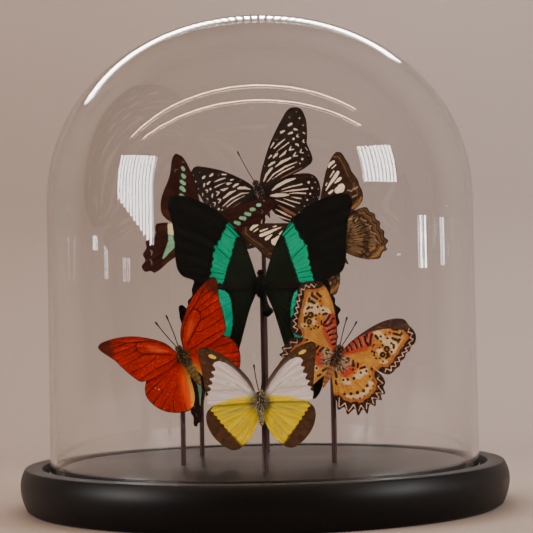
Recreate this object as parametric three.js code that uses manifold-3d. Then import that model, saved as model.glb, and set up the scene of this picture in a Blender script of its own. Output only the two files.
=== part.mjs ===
// Eight mounted butterflies on wooden rods under a glass dome on a turned wooden base.
// Millimetres, +Z up. The origin is the middle of the base's underside and -Y is the front.
import * as THREE from "three";
import { mergeVertices } from "three/addons/utils/BufferGeometryUtils.js";
import Module from "manifold-3d";

const wasm = await Module();
wasm.setup();

// ---- driving dimensions -------------------------------------------------------------------
const baseHeight = 22;
const baseWidestRadius = 125;
const baseWidestZ = 13.3;
const baseRimRadius = 122.5;
const baseFootRadius = 121;
const baseFootRounding = 1.5;
const baseSides = 60;

const grooveOuterRadius = 114;
const grooveInnerRadius = 103;
const grooveDepth = 6;

const domeRadius = 110;
const domeWall = 3;
const domeShoulderZ = 156;
const domeTopZ = 251.5;
const domeRoundness = 2.1;
const domeSides = 48;
const domeCrownSteps = 9;
const beadBulge = 1;
const beadHeight = 4;

const rodRadius = 1.3;
const rodSides = 12;
const pegDepth = 9;
const clearance = 0.3;

const wingThickness = 0.5;
const wingLayerOffset = 0.6;
const wingOutlinePoints = 24;
const rootClearance = 0.4;
const antennaRadius = 0.3;
const headLift = 0.35;

// ---- the kinds of butterfly ---------------------------------------------------------------
// Outlines are of the right wings, [outwards, towards the head] from the middle of the thorax.
const kinds = {
  gull: {
    thorax: [2.1, 4.2], abdomenEnd: -11, abdomenRadius: 1.6, headRadius: 1.3,
    antennaTip: [2.2, 18.5],
    forewing: [[2, 2.5], [4, 10.5], [8.5, 16.5], [14, 22], [20, 26], [26, 28], [28, 26.5], [28, 22.5],
      [27, 17], [26.5, 11.5], [25.5, 6], [25.5, 0.5], [14, 0.5], [5, 0.5]],
    hindwing: [[2, 2], [14, 3], [23.5, 1], [25.5, -3], [26, -7], [25, -11], [23, -14.5], [20.5, -17.5],
      [17.5, -20], [14, -21.5], [10.5, -20.5], [7, -18], [4, -14.5], [2.2, -9.5]],
  },
  orange: {
    thorax: [2.3, 4.5], abdomenEnd: -16, abdomenRadius: 1.7, headRadius: 1.4,
    antennaTip: [3.2, 22.8],
    forewing: [[2, 2.5], [4.5, 11], [10.5, 17.5], [17, 22.5], [24.5, 26], [32, 27.5], [34.5, 26],
      [32.5, 21.5], [30, 15.5], [28.5, 9.5], [26.5, 4], [23.5, -0.5], [20, -1.5], [12.5, 0], [4, 0.5]],
    hindwing: [[2, 2], [12, 2], [22.5, -0.5], [25.5, -4.5], [26.5, -9], [25, -14], [22.5, -18.5],
      [18.5, -21.5], [14, -23.5], [9.5, -23.5], [6, -21], [4, -16.5], [2.5, -9]],
  },
  lacewing: {
    thorax: [2.4, 4.6], abdomenEnd: -17, abdomenRadius: 1.8, headRadius: 1.5,
    antennaTip: [2.8, 21],
    forewing: [[2, 3], [4, 11], [8, 17.5], [13, 24], [19.5, 28.5], [26, 31], [30, 29.5], [33, 25.5],
      [34, 20], [33, 14], [31, 8], [28, 3], [24.5, 1], [15, 1.5], [4, 0.5]],
    hindwing: [[2, 2], [12, 3], [23.5, 2], [28.5, -1.5], [31, -7.5], [30.5, -13], [27, -18.5],
      [21.5, -22.5], [15.5, -24], [9.5, -23], [5.5, -18], [3.5, -12], [2.2, -6]],
  },
  swallowtail: {
    thorax: [3, 6], abdomenEnd: -16.5, abdomenRadius: 2.4, abdomenLean: -12, headRadius: 1.7,
    forewing: [[3, 3], [4.5, 12], [8, 21.5], [13, 30], [20, 37], [28.5, 43], [37.5, 47], [43.5, 47.5],
      [47.5, 46], [48.5, 41.5], [47.5, 35], [45.5, 26.5], [45, 20], [44.5, 13], [42, 7], [36, 3.5], [19.5, 0.5],
      [5, -2]],
    hindwing: [[2.5, 1], [18, 2.5], [35, 2.5], [36, -4], [38.5, -9.5], [41.5, -14.5], [40.5, -20.5],
      [40, -27], [37.5, -33], [35, -38.5], [32.5, -43], [31.5, -50], [29, -56.5], [26, -59.5],
      [23.5, -57], [24.5, -51], [22.5, -47.5], [18, -47], [14.5, -44], [12, -32.5], [9, -20], [4, -8]],
  },
  tiger: {
    thorax: [2.3, 4.6], abdomenEnd: -17, abdomenRadius: 1.7, headRadius: 1.5,
    antennaTip: [3, 27.4],
    forewing: [[2, 2.5], [5.5, 8], [11, 14.5], [17, 21], [23.5, 26.5], [30.5, 31.5], [37, 35], [41, 34.5],
      [42, 29], [41, 22], [38.5, 14.5], [37, 8], [35, 1], [31, -0.5], [18.5, -1], [4, -1]],
    hindwing: [[2, 0.5], [14, 1.5], [27, 0], [32.5, -5], [34, -11.5], [32, -17.5], [28, -22],
      [23, -25], [17.5, -26.5], [11.5, -26], [6.5, -22], [3.5, -15], [2.2, -8]],
  },
  clipper: {
    thorax: [2.4, 4.8], abdomenEnd: -17, abdomenRadius: 1.8, headRadius: 1.5,
    antennaTip: [3.5, 22],
    forewing: [[2, 2.5], [5, 13.5], [12, 21], [17.5, 26], [23.5, 31.5], [29, 34.5], [33.5, 34.5],
      [35, 32], [34, 26], [32, 18], [31, 10.5], [28, 4.5], [20, 3], [10, 2], [4, 0]],
    hindwing: [[2, 1.5], [11, 3.5], [22.5, 3.5], [27, -0.5], [27.5, -6], [26.5, -12], [25, -19],
      [21.5, -24], [14.5, -25], [9.5, -23.5], [5.5, -21], [3.5, -14], [2.2, -7]],
  },
  bluebottle: {
    thorax: [2.3, 4.6], abdomenEnd: -15, abdomenRadius: 1.7, headRadius: 1.4,
    antennaTip: [3.5, 19],
    forewing: [[2, 2.5], [3.5, 11], [9, 18.5], [16, 26.5], [23.5, 32], [29.5, 34.8], [31.8, 33],
      [31, 26.5], [29, 19.5], [27.8, 11.5], [26.5, 4.5], [22.5, 0.5], [16, -1], [8, -0.5], [3, 0.5]],
    hindwing: [[2, 1], [9, -0.5], [19.5, -2], [24.5, -5], [24.5, -10], [25, -16], [23.5, -22],
      [22, -28], [17.5, -31.5], [12.5, -29.5], [8, -24.5], [4.5, -17], [2.2, -8]],
  },
};

// ---- where each butterfly is fixed --------------------------------------------------------
// at: middle of the thorax. spin, yaw: degrees the body leans and turns. raise: degrees each
// wing is lifted to the front. rodShift: how far the rod stands sideways of the body's middle.
const butterflies = [
  { name: "gull", kind: "gull", at: [-1.3, -66, 55.1], spin: -2, yaw: -6.3, raise: 6.7, rodShift: 1.2 },
  { name: "orange", kind: "orange", at: [-39.9, -19, 76.8], spin: -30, yaw: 6, raise: 3.5, rodShift: -0.8 },
  { name: "lacewing", kind: "lacewing", at: [37.1, -18, 75.3], spin: 24.7, yaw: 11, raise: 14, rodShift: -1,
    hindwingInFront: true },
  { name: "swallowtail", kind: "swallowtail", at: [-0.3, 0, 112.6], spin: 0, yaw: 5, raise: 7, rodShift: 1 },
  { name: "clipper", kind: "clipper", at: [36.8, 30, 137.5], spin: -38, yaw: -4, raise: 6, rodShift: 0.8 },
  { name: "bluebottle", kind: "bluebottle", at: [-34.3, 38, 142.6], spin: 27, yaw: 0, raise: 3, rodShift: 0 },
  { name: "low_bluebottle", kind: "bluebottle", at: [-30.2, 40.3, 71], spin: -4, yaw: 60, raise: 6,
    sharesRod: true },
  { name: "tiger", kind: "tiger", at: [-0.6, 60, 167.5], spin: -24, yaw: -31, raise: -8, rodShift: 0 },
];

// ---- solids and geometry ------------------------------------------------------------------
function solidOf(geometry) {
  const bare = geometry.clone();
  bare.deleteAttribute("normal");
  bare.deleteAttribute("uv");
  const merged = mergeVertices(bare, 1e-4);
  return new wasm.Manifold(new wasm.Mesh({
    numProp: 3,
    vertProperties: new Float32Array(merged.attributes.position.array),
    triVerts: new Uint32Array(merged.index.array),
  }));
}

function geometryOf(solid) {
  const mesh = solid.getMesh();
  const geometry = new THREE.BufferGeometry();
  geometry.setAttribute("position", new THREE.BufferAttribute(new Float32Array(mesh.vertProperties), 3));
  geometry.setIndex(new THREE.BufferAttribute(new Uint32Array(mesh.triVerts), 1));
  return geometry;
}

// A shape turned about the vertical axis from [radius, height] points.
function turned(points, sides) {
  const profile = points.map(([radius, height]) => new THREE.Vector2(radius, height));
  return new THREE.LatheGeometry(profile, sides).rotateX(Math.PI / 2);
}

function uprightCylinder(radius, bottomZ, topZ, sides) {
  const cylinder = new THREE.CylinderGeometry(radius, radius, topZ - bottomZ, sides);
  return cylinder.rotateX(Math.PI / 2).translate(0, 0, (bottomZ + topZ) / 2);
}

function finish(color, roughness, metalness = 0, opacity = 1) {
  return new THREE.MeshStandardMaterial({ color, roughness, metalness, opacity, transparent: opacity < 1 });
}

const blackWood = finish(0x1b1816, 0.4);
const rodWood = finish(0x4a2a20, 0.7);
const clearGlass = finish(0xe8eef0, 0.02, 0, 0.25);
const bodyFuzz = finish(0x4a4038, 0.95);
const wingColours = {
  gull: finish(0xe0d680, 0.8),
  orange: finish(0xb83a08, 0.8),
  lacewing: finish(0xc98a45, 0.8),
  swallowtail: finish(0x12382f, 0.7),
  tiger: finish(0x3a2a22, 0.8),
  clipper: finish(0x8a6a3c, 0.8),
  bluebottle: finish(0x4a2c1c, 0.8),
};

const display = new THREE.Group();

function add(name, geometry, material, parent = display) {
  const mesh = new THREE.Mesh(geometry, material);
  mesh.name = name;
  parent.add(mesh);
  return mesh;
}

// ---- base ---------------------------------------------------------------------------------
function baseProfile() {
  const points = [[0, 0], [baseFootRadius - baseFootRounding, 0]];
  for (const share of [0.08, 0.3, 0.55, 0.8]) {
    const z = baseWidestZ * share;
    const drop = (1 - share) ** 2;
    points.push([baseWidestRadius - (baseWidestRadius - baseFootRadius) * drop, z]);
  }
  for (const share of [0, 0.35, 0.7, 1]) {
    const z = baseWidestZ + (baseHeight - baseWidestZ) * share;
    points.push([baseWidestRadius - (baseWidestRadius - baseRimRadius) * share ** 2, z]);
  }
  const grooveFloorZ = baseHeight - grooveDepth;
  points.push([grooveOuterRadius, baseHeight], [grooveOuterRadius, grooveFloorZ]);
  points.push([grooveInnerRadius, grooveFloorZ], [grooveInnerRadius, baseHeight], [0, baseHeight]);
  return points;
}

// Middle of the rod that stands close behind a butterfly's thorax.
function rodPlace({ kind, at, yaw, rodShift }) {
  const standoff = kinds[kind].thorax[0] + clearance + rodRadius;
  const turn = THREE.MathUtils.degToRad(yaw);
  return [
    at[0] + rodShift * Math.cos(turn) - standoff * Math.sin(turn),
    at[1] + rodShift * Math.sin(turn) + standoff * Math.cos(turn),
  ];
}

const ownRods = butterflies.filter((butterfly) => !butterfly.sharesRod);
const pegFloorZ = baseHeight - pegDepth;

let baseSolid = solidOf(turned(baseProfile(), baseSides));
for (const butterfly of ownRods) {
  const [x, y] = rodPlace(butterfly);
  const hole = uprightCylinder(rodRadius + clearance, pegFloorZ, baseHeight + 1, rodSides).translate(x, y, 0);
  baseSolid = baseSolid.subtract(solidOf(hole));
}
add("base", geometryOf(baseSolid), blackWood);

// ---- rods ---------------------------------------------------------------------------------
for (const butterfly of ownRods) {
  const [x, y] = rodPlace(butterfly);
  const topZ = butterfly.at[2] + kinds[butterfly.kind].thorax[1] * 0.6;
  const rod = add(`rod_${butterfly.name}`, uprightCylinder(rodRadius, 0, topZ - pegFloorZ - clearance, rodSides),
    rodWood);
  rod.position.set(x, y, pegFloorZ + clearance);
}

// ---- glass dome ---------------------------------------------------------------------------
// The crown is a superellipse between the straight wall's shoulder and the top.
function domeCurve(radius, topZ, fromFoot) {
  const points = [];
  for (let step = 0; step <= domeCrownSteps; step += 1) {
    const angle = (step / domeCrownSteps) * (Math.PI / 2);
    const across = step === domeCrownSteps ? 0 : radius * Math.cos(angle) ** (2 / domeRoundness);
    points.push([across, domeShoulderZ + (topZ - domeShoulderZ) * Math.sin(angle) ** (2 / domeRoundness)]);
  }
  return fromFoot ? points : points.reverse();
}

const domeFootZ = baseHeight - grooveDepth + clearance;
const domeInnerRadius = domeRadius - domeWall;
add("glass_dome", turned([
  ...domeCurve(domeInnerRadius, domeTopZ - domeWall, false),
  [domeInnerRadius, domeFootZ + beadHeight],
  [domeInnerRadius - beadBulge, domeFootZ + beadHeight / 2],
  [domeInnerRadius, domeFootZ],
  [domeRadius, domeFootZ],
  [domeRadius + beadBulge, domeFootZ + beadHeight / 2],
  [domeRadius, domeFootZ + beadHeight],
  ...domeCurve(domeRadius, domeTopZ, true),
], domeSides), clearGlass);

// ---- butterflies --------------------------------------------------------------------------
// A body stands in the XZ plane with its head up and faces -Y. A kind with no antennaTip has
// lost its antennae.
function bodyGeometry({ thorax, abdomenEnd, abdomenRadius, abdomenLean = 0, headRadius, antennaTip }) {
  const [thoraxRadius, thoraxHalfLength] = thorax;
  const headZ = thoraxHalfLength + headRadius * headLift;
  const thoraxShape = new THREE.SphereGeometry(thoraxRadius, 8, 6).rotateX(Math.PI / 2)
    .scale(1, 1, thoraxHalfLength / thoraxRadius);
  const abdomenLength = -abdomenEnd;
  const abdomen = turned([
    [0, -abdomenLength],
    [abdomenRadius * 0.75, -abdomenLength * 0.92],
    [abdomenRadius, -abdomenLength * 0.7],
    [abdomenRadius * 0.85, -abdomenLength * 0.3],
    [0, 0],
  ], 8).rotateY(THREE.MathUtils.degToRad(abdomenLean));
  const head = new THREE.SphereGeometry(headRadius, 8, 5).translate(0, 0, headZ);
  let body = solidOf(thoraxShape).add(solidOf(abdomen)).add(solidOf(head));
  for (const side of antennaTip ? [-1, 1] : []) {
    const reach = new THREE.Vector3(side * antennaTip[0], 0, antennaTip[1] - headZ);
    const antenna = new THREE.CylinderGeometry(antennaRadius, antennaRadius, reach.length(), 5)
      .translate(0, reach.length() / 2, 0);
    antenna.applyQuaternion(new THREE.Quaternion().setFromUnitVectors(
      new THREE.Vector3(0, 1, 0),
      reach.normalize(),
    ));
    body = body.add(solidOf(antenna.translate(0, 0, headZ)));
  }
  return geometryOf(body);
}

// A thin plate in the XZ plane, middled on y = 0, with the outline drawn for the given side.
function wingGeometry(outline, rootX, side) {
  const corners = outline.map(([x, z]) => new THREE.Vector3(side * Math.max(x, rootX), z, 0));
  const edge = new THREE.CatmullRomCurve3(corners, true, "centripetal");
  const flat = edge.getSpacedPoints(wingOutlinePoints).slice(0, -1)
    .map((point) => new THREE.Vector2(side * Math.max(side * point.x, rootX), point.y));
  const plate = new THREE.ExtrudeGeometry(new THREE.Shape(flat), {
    depth: wingThickness,
    bevelEnabled: false,
  });
  return plate.translate(0, 0, -wingThickness / 2).rotateX(Math.PI / 2);
}

for (const { name, kind, at, spin, yaw, raise, hindwingInFront } of butterflies) {
  const shape = kinds[kind];
  const rootX = shape.thorax[0] + rootClearance;
  const butterfly = new THREE.Group();
  butterfly.position.set(...at);
  butterfly.rotation.set(0, THREE.MathUtils.degToRad(spin), THREE.MathUtils.degToRad(yaw), "ZYX");
  display.add(butterfly);
  add(`${name}_body`, bodyGeometry(shape), bodyFuzz, butterfly);
  const frontLayer = hindwingInFront ? "hindwing" : "forewing";
  for (const layer of ["forewing", "hindwing"]) {
    for (const [sideName, side] of [["left", -1], ["right", 1]]) {
      const wing = add(`${name}_${layer}_${sideName}`, wingGeometry(shape[layer], rootX, side),
        wingColours[kind], butterfly);
      wing.rotation.z = -side * THREE.MathUtils.degToRad(raise);
      wing.position.y = layer === frontLayer ? -wingLayerOffset : wingLayerOffset;
    }
  }
}

export default display;
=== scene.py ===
import math
import random

import bmesh
import bpy
import numpy as np
from mathutils import Matrix, Vector


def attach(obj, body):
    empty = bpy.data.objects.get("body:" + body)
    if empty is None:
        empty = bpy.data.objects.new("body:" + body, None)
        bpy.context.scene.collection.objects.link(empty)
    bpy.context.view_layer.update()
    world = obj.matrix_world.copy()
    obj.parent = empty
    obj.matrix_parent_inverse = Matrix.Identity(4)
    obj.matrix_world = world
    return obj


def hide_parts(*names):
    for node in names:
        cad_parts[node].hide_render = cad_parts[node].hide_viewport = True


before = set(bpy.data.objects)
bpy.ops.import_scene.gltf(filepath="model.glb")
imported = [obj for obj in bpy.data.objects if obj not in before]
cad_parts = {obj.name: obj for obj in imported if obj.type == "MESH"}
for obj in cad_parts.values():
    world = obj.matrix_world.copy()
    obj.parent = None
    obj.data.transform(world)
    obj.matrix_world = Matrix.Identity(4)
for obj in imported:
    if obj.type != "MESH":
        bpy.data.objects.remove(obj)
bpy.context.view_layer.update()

MM = 0.001
scene = bpy.context.scene

# ---- dimensions of the display, in millimetres --------------------------------------------
BASE_HEIGHT = 22
BASE_WIDEST = (125, 13.3)
BASE_RIM = 122.5
BASE_FOOT = 121
GROOVE = (103, 114, 6)
DOME_RADIUS = 110
DOME_WALL = 3
DOME_FOOT = 16.3
DOME_SHOULDER = 156
DOME_TOP = 251.5
DOME_ROUNDNESS = 2.1
ROD_RADIUS = 1.3
ROD_FOOT = 13.3
BEAD_SWELL = 1.0
WING_LAYER = 0.35
WING_THICKNESS = 0.16
RIPPLE_DEPTH = 0.1
RIPPLES = 7
ABDOMEN_RINGS = 22
THORAX_FLATNESS = 0.92
ANTENNA_STEPS = 14
HAIRS = 1300
HAIRS_PER_BATCH = 100
TURN_STEPS = 192

# How the film shows light: what a grey of the first number shows as, and how it mixes colours.
FILM_GREYS = np.array([(0.0006, 0.4), (0.0012, 1.2), (0.0023, 3.1), (0.0042, 7.1), (0.0079, 14.8),
                       (0.0146, 25.3), (0.0273, 39.5), (0.0509, 58.6), (0.095, 84.3),
                       (0.1772, 116.8), (0.3305, 150.2), (0.6165, 178.5), (1.1498, 201.1)])
FILM_BEFORE = np.array([(0.615, 0.292, 0.094), (0.107, 0.774, 0.119), (0.086, 0.183, 0.731)])
FILM_AFTER = np.array([(1.651, -0.504, -0.147), (-0.17, 1.217, -0.046), (-0.155, -0.268, 1.423)])
# What stands between the lamps is this much darker in paint, because its light is stronger.
SHADE = 0.59


def paint(red, green, blue, lift=1.0):
    """The paint that the film shows, in even light, as the given 0 to 255 values."""
    shown = np.array([red, green, blue]) / 255
    shown = np.where(shown < 0.04045, shown / 12.92, ((shown + 0.055) / 1.055) ** 2.4)
    shown = np.clip(np.linalg.solve(FILM_AFTER, shown), 1e-6, 1)
    shown = np.where(shown < 0.0031308, shown * 12.92, 1.055 * shown ** (1 / 2.4) - 0.055) * 255
    light = 2 ** np.interp(shown, FILM_GREYS[:, 1], np.log2(FILM_GREYS[:, 0]))
    mixed = np.clip(np.linalg.solve(FILM_BEFORE, light) * lift, 0.0006, 0.86)
    return (*[float(part) for part in mixed], 1.0)


def stain(*shown):
    return paint(*shown, SHADE)


def scaled(colour, share):
    return tuple(share * part for part in colour[:3]) + (1,)


# ---- material helpers ---------------------------------------------------------------------
class Finish:
    """A material under construction, with short names for the nodes it needs."""

    def __init__(self, name, **plain):
        self.material = bpy.data.materials.new(name)
        self.material.use_nodes = True
        self.tree = self.material.node_tree
        self.shader = self.tree.nodes["Principled BSDF"]
        for socket, value in plain.items():
            self.shader.inputs[socket.replace("_", " ")].default_value = value

    def node(self, kind, **settings):
        made = self.tree.nodes.new("ShaderNode" + kind)
        for key, value in settings.items():
            setattr(made, key, value)
        return made

    def feed(self, socket, value):
        if isinstance(value, bpy.types.NodeSocket):
            self.tree.links.new(value, socket)
        else:
            socket.default_value = value

    def place(self):
        return self.node("TexCoord").outputs["Object"]

    def field(self, name, output="Fac"):
        return self.node("Attribute", attribute_name=name).outputs[output]

    def math(self, operation, first, second=0.0, third=0.0):
        made = self.node("Math", operation=operation)
        for socket, value in zip(made.inputs, (first, second, third)):
            self.feed(socket, value)
        return made.outputs[0]

    def noise(self, where, scale, detail=2.0, roughness=0.5, distortion=0.0):
        made = self.node("TexNoise")
        self.feed(made.inputs["Vector"], where)
        for socket, value in (("Scale", scale), ("Detail", detail), ("Roughness", roughness),
                              ("Distortion", distortion)):
            made.inputs[socket].default_value = value
        return made.outputs["Fac"]

    def streaks(self, where, stretch, detail, roughness=0.5, distortion=0.0):
        return self.noise(self.stretch(where, stretch), 1.0, detail, roughness, distortion)

    def stretch(self, where, scale):
        made = self.node("Mapping")
        self.feed(made.inputs["Vector"], where)
        made.inputs["Scale"].default_value = scale
        return made.outputs["Vector"]

    def ramp(self, value, low, high, start=0.0, end=1.0):
        made = self.node("MapRange", interpolation_type="SMOOTHSTEP")
        for socket, number in zip(made.inputs, (value, low, high, start, end)):
            self.feed(socket, number)
        return made.outputs[0]

    def mix(self, share, first, second, blend="MIX"):
        made = self.node("Mix", data_type="RGBA", blend_type=blend)
        self.feed(made.inputs[0], share)
        self.feed(made.inputs[6], first)
        self.feed(made.inputs[7], second)
        return made.outputs[2]

    def cover(self, colour, tint, value, low, high, start=0.0, end=1.0):
        """Lays a paint over a colour: its share is start at the low value and end at the high."""
        return self.mix(self.ramp(value, low, high, start, end), colour, stain(*tint))

    def bump(self, height, strength, distance):
        made = self.node("Bump")
        made.inputs["Strength"].default_value = strength
        made.inputs["Distance"].default_value = distance
        self.feed(made.inputs["Height"], height)
        if self.shader.inputs["Normal"].is_linked:
            self.feed(made.inputs["Normal"], self.shader.inputs["Normal"].links[0].from_socket)
        self.feed(self.shader.inputs["Normal"], made.outputs[0])

    def colour(self, value):
        self.feed(self.shader.inputs["Base Color"], value)

    def roughness(self, value):
        self.feed(self.shader.inputs["Roughness"], value)


# ---- mesh helpers -------------------------------------------------------------------------
def settle(bm, name, material, nodes, place=None, smooth_angle=40):
    """Makes the finished piece from a mesh in millimetres and puts it in its CAD nodes' place."""
    bm.transform(Matrix.Scale(MM, 4) @ (place or Matrix()))
    mesh = bpy.data.meshes.new(name)
    bm.to_mesh(mesh)
    bm.free()
    mesh.materials.append(material)
    mesh.shade_smooth()
    mesh.set_sharp_from_angle(angle=math.radians(smooth_angle))
    made = bpy.data.objects.new(name, mesh)
    scene.collection.objects.link(made)
    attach(made, "root")
    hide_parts(*nodes)
    return made


def spun(profile):
    """A closed turned shape from [radius, height] points."""
    bm = bmesh.new()
    corners = [bm.verts.new((radius, 0, height)) for radius, height in profile]
    edges = [bm.edges.new(pair) for pair in zip(corners, corners[1:])]
    bmesh.ops.spin(bm, geom=corners + edges, cent=(0, 0, 0), axis=(0, 0, 1), angle=math.tau,
                   steps=TURN_STEPS, use_merge=True)
    bmesh.ops.remove_doubles(bm, verts=bm.verts, dist=0.002)
    bmesh.ops.recalc_face_normals(bm, faces=bm.faces)
    return bm


def soften_rings(bm, least_angle, offset, segments):
    """Rounds the edges of a turned shape that are sharper than an angle in degrees."""
    sharp = [edge for edge in bm.edges
             if edge.is_manifold and edge.calc_face_angle(0) > math.radians(least_angle)]
    bmesh.ops.bevel(bm, geom=sharp, offset=offset, segments=segments, affect="EDGES",
                    profile=0.5, material=-1)


def tube(bm, points, radii, sides=10, flatten=1.0):
    """A closed tube along points, with a ring of the given radius at each."""
    rings = []
    for index, point in enumerate(points):
        before = points[max(index - 1, 0)]
        after = points[min(index + 1, len(points) - 1)]
        heading = (Vector(after) - Vector(before)).to_track_quat("Z", "Y").to_matrix().to_4x4()
        ring = bmesh.ops.create_circle(
            bm, segments=sides, radius=radii[index],
            matrix=Matrix.Translation(point) @ heading @ Matrix.Diagonal((1, flatten, 1, 1)))
        rings.append(ring["verts"])
    for low, high in zip(rings, rings[1:]):
        loops = [edge for ring in (low, high) for edge in
                 {link for vert in ring for link in vert.link_edges
                  if all(end in ring for end in link.verts)}]
        bmesh.ops.bridge_loops(bm, edges=loops)
    for ring in (rings[0], rings[-1]):
        bmesh.ops.contextual_create(bm, geom=list(ring))


def finish_walls(bm, grown, offset):
    """Moves what an extrusion grew, then turns all faces outwards."""
    bmesh.ops.translate(bm, vec=offset,
                        verts=[part for part in grown if isinstance(part, bmesh.types.BMVert)])
    bmesh.ops.recalc_face_normals(bm, faces=bm.faces)


def track_length(track):
    """How far along a track each of its points lies."""
    return np.concatenate([[0], np.cumsum(np.linalg.norm(np.diff(track, axis=0), axis=1))])


def smooth_path(points, count):
    """Centripetal Catmull-Rom curve through open points, spaced evenly along its length."""
    corners = np.array(points, float)
    corners = np.vstack([2 * corners[0] - corners[1], corners, 2 * corners[-1] - corners[-2]])
    track = []
    for p0, p1, p2, p3 in zip(corners, corners[1:], corners[2:], corners[3:]):
        k0, k1, k2, k3 = np.cumsum([0] + [max(np.linalg.norm(b - a), 1e-6) ** 0.5
                                          for a, b in ((p0, p1), (p1, p2), (p2, p3))])
        at = np.linspace(k1, k2, 25)[:, None]

        def between(low, high, start, end):
            return (high - at) / (high - low) * start + (at - low) / (high - low) * end

        a1, a2, a3 = between(k0, k1, p0, p1), between(k1, k2, p1, p2), between(k2, k3, p2, p3)
        track.append(between(k1, k2, between(k0, k2, a1, a2), between(k1, k3, a2, a3))[:-1])
    track = np.vstack(track + [corners[-2:-1]])
    gone = track_length(track)
    even = np.linspace(0, gone[-1], count)
    return np.stack([np.interp(even, gone, track[:, axis]) for axis in (0, 1)], 1)


# ---- distances over a wing, for its markings ----------------------------------------------
FAR = 30.0


def stroke_distance(spots, strokes):
    """Distance to the nearest stroke's edge. A stroke is x, z, radius, x, z, radius, ..."""
    best = np.full(len(spots), FAR)
    for stroke in strokes:
        beads = np.array(stroke, float).reshape(-1, 3)
        if len(beads) == 1:
            beads = np.vstack([beads, beads])
        for (ax, az, ar), (bx, bz, br) in zip(beads, beads[1:]):
            along = np.array([bx - ax, bz - az])
            span = max(along @ along, 1e-9)
            share = np.clip(((spots - (ax, az)) @ along) / span, 0, 1)
            gap = np.linalg.norm(spots - (ax, az) - share[:, None] * along, axis=1)
            best = np.minimum(best, gap - (ar + (br - ar) * share))
    return best


def patch_distance(spots, patches):
    """Signed distance to the nearest patch's outline, negative inside it."""
    best = np.full(len(spots), FAR)
    for patch in patches:
        corners = np.array(patch, float)
        inside = np.zeros(len(spots), bool)
        gap = np.full(len(spots), FAR)
        for a, b in zip(corners, np.roll(corners, -1, axis=0)):
            along = b - a
            share = np.clip(((spots - a) @ along) / (along @ along), 0, 1)
            gap = np.minimum(gap, np.linalg.norm(spots - a - share[:, None] * along, axis=1))
            crosses = (a[1] > spots[:, 1]) != (b[1] > spots[:, 1])
            reach = a[0] + (spots[:, 1] - a[1]) / ((b[1] - a[1]) or 1e-9) * along[0]
            inside ^= crosses & (spots[:, 0] < reach)
        best = np.minimum(best, np.where(inside, -gap, gap))
    return best


def line_distance(spots, track):
    """Distance to the nearest place on a line."""
    best = np.full(len(spots), FAR)
    for a, b in zip(track, track[1:]):
        along = b - a
        share = np.clip(((spots - a) @ along) / max(along @ along, 1e-9), 0, 1)
        best = np.minimum(best, np.linalg.norm(spots - a - share[:, None] * along, axis=1))
    return best


# ---- the kinds of butterfly ---------------------------------------------------------------
# Thorax: radius and half height. Abdomen: end and radius. Antenna: tip, sideways and up.
KINDS = {
    "gull": {"thorax": (2.1, 4.2), "abdomen": (-11, 1.6), "head": 1.3, "antenna": (2.2, 18.5)},
    "orange": {"thorax": (2.4, 4.6), "abdomen": (-17, 2.2), "head": 1.4, "antenna": (3.2, 22.8)},
    "lacewing": {"thorax": (2.4, 4.6), "abdomen": (-17, 1.8), "head": 1.5, "antenna": (2.8, 21)},
    "swallowtail": {"thorax": (3, 6), "abdomen": (-16.5, 2.4), "head": 1.7, "antenna": None},
    "tiger": {"thorax": (2.3, 4.6), "abdomen": (-17, 1.7), "head": 1.5, "antenna": (3, 27.4)},
    "clipper": {"thorax": (2.4, 4.8), "abdomen": (-17, 1.8), "head": 1.5, "antenna": (3.5, 22)},
    "bluebottle": {"thorax": (2.3, 4.6), "abdomen": (-15, 1.7), "head": 1.4, "antenna": (3.5, 19)},
}
WINGS = {}


def pairs(numbers):
    return list(zip(numbers[::2], numbers[1::2]))


def draw_wing(kind, layer, lead, outer, trail, patches={}, strokes={}, zigzag=()):
    """
    Keeps a right wing's drawing, outwards and towards the head from the middle of the thorax.

    The leading edge starts at the root and the trailing edge comes back to it. A patch is its
    outline's corners. A stroke is a row of beads: outwards, up, radius.
    """
    WINGS[kind, layer] = {"lead": pairs(lead), "outer": pairs(outer), "trail": pairs(trail),
                          "zigzag": pairs(zigzag), "strokes": strokes,
                          "patches": {field: [pairs(patch) for patch in drawn]
                                      for field, drawn in patches.items()}}


draw_wing(
    "gull", "forewing",
    lead=(1.2, 2.5, 4, 10.5, 8.5, 16.5, 14, 22, 20, 26, 24, 27.6, 26, 28),
    outer=(26, 28, 27.6, 27.2, 28.1, 25, 27.8, 21.5, 27, 17, 26.4, 12, 25.8, 7.5, 25.6, 3.5, 25,
        0.7),
    trail=(25, 0.7, 20, 0.2, 12, 0.4, 5, 0.5, 1.2, 0.3),
    patches={
        "pale": [(1, 4.6, 3.2, 6, 5.6, 10, 9.5, 14.9, 12.5, 17.8, 15.5, 19.9, 18.5, 21, 20.4, 20.6,
            21.6, 19.2, 20.4, 17.6, 20.3, 16.6, 22.4, 16, 21.2, 14.4, 21.2, 13.4, 23.4, 12.8, 22.1,
            11.2, 22.2, 10.2, 24.3, 9.6, 22.9, 8.2, 23, 7.3, 25, 6.6, 24, 5.4, 25.8, 4.2, 26.2, -2,
            1, -2)],
        "sun": [(0, 3, 4, 3.5, 9, 3.4, 14, 2.7, 18, 1.6, 21, 0.5, 24, -1.5, 0, -2)],
    },
    strokes={
        "cream": [(20.3, 22.7, 0.75, 21.6, 23.2, 1.05, 22.8, 23.7, 0.7)],
        "bright": [(2.5, 2.9, 0.3, 8, 3.2, 0.35, 14, 2.3, 0.3, 19, 1, 0.25)],
        "ash": [(15, 10, 0.2), (10, 6.6, 0.05, 20, 7.4, 0.05), (6, 5, 0.05, 11, 9.6, 0.05)],
        "smoke": [(1.5, 3.6, 0.8, 5, 9.6, 0.6, 9.5, 15.2, 0.3, 15, 20.4, 0.1)],
    })
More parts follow.
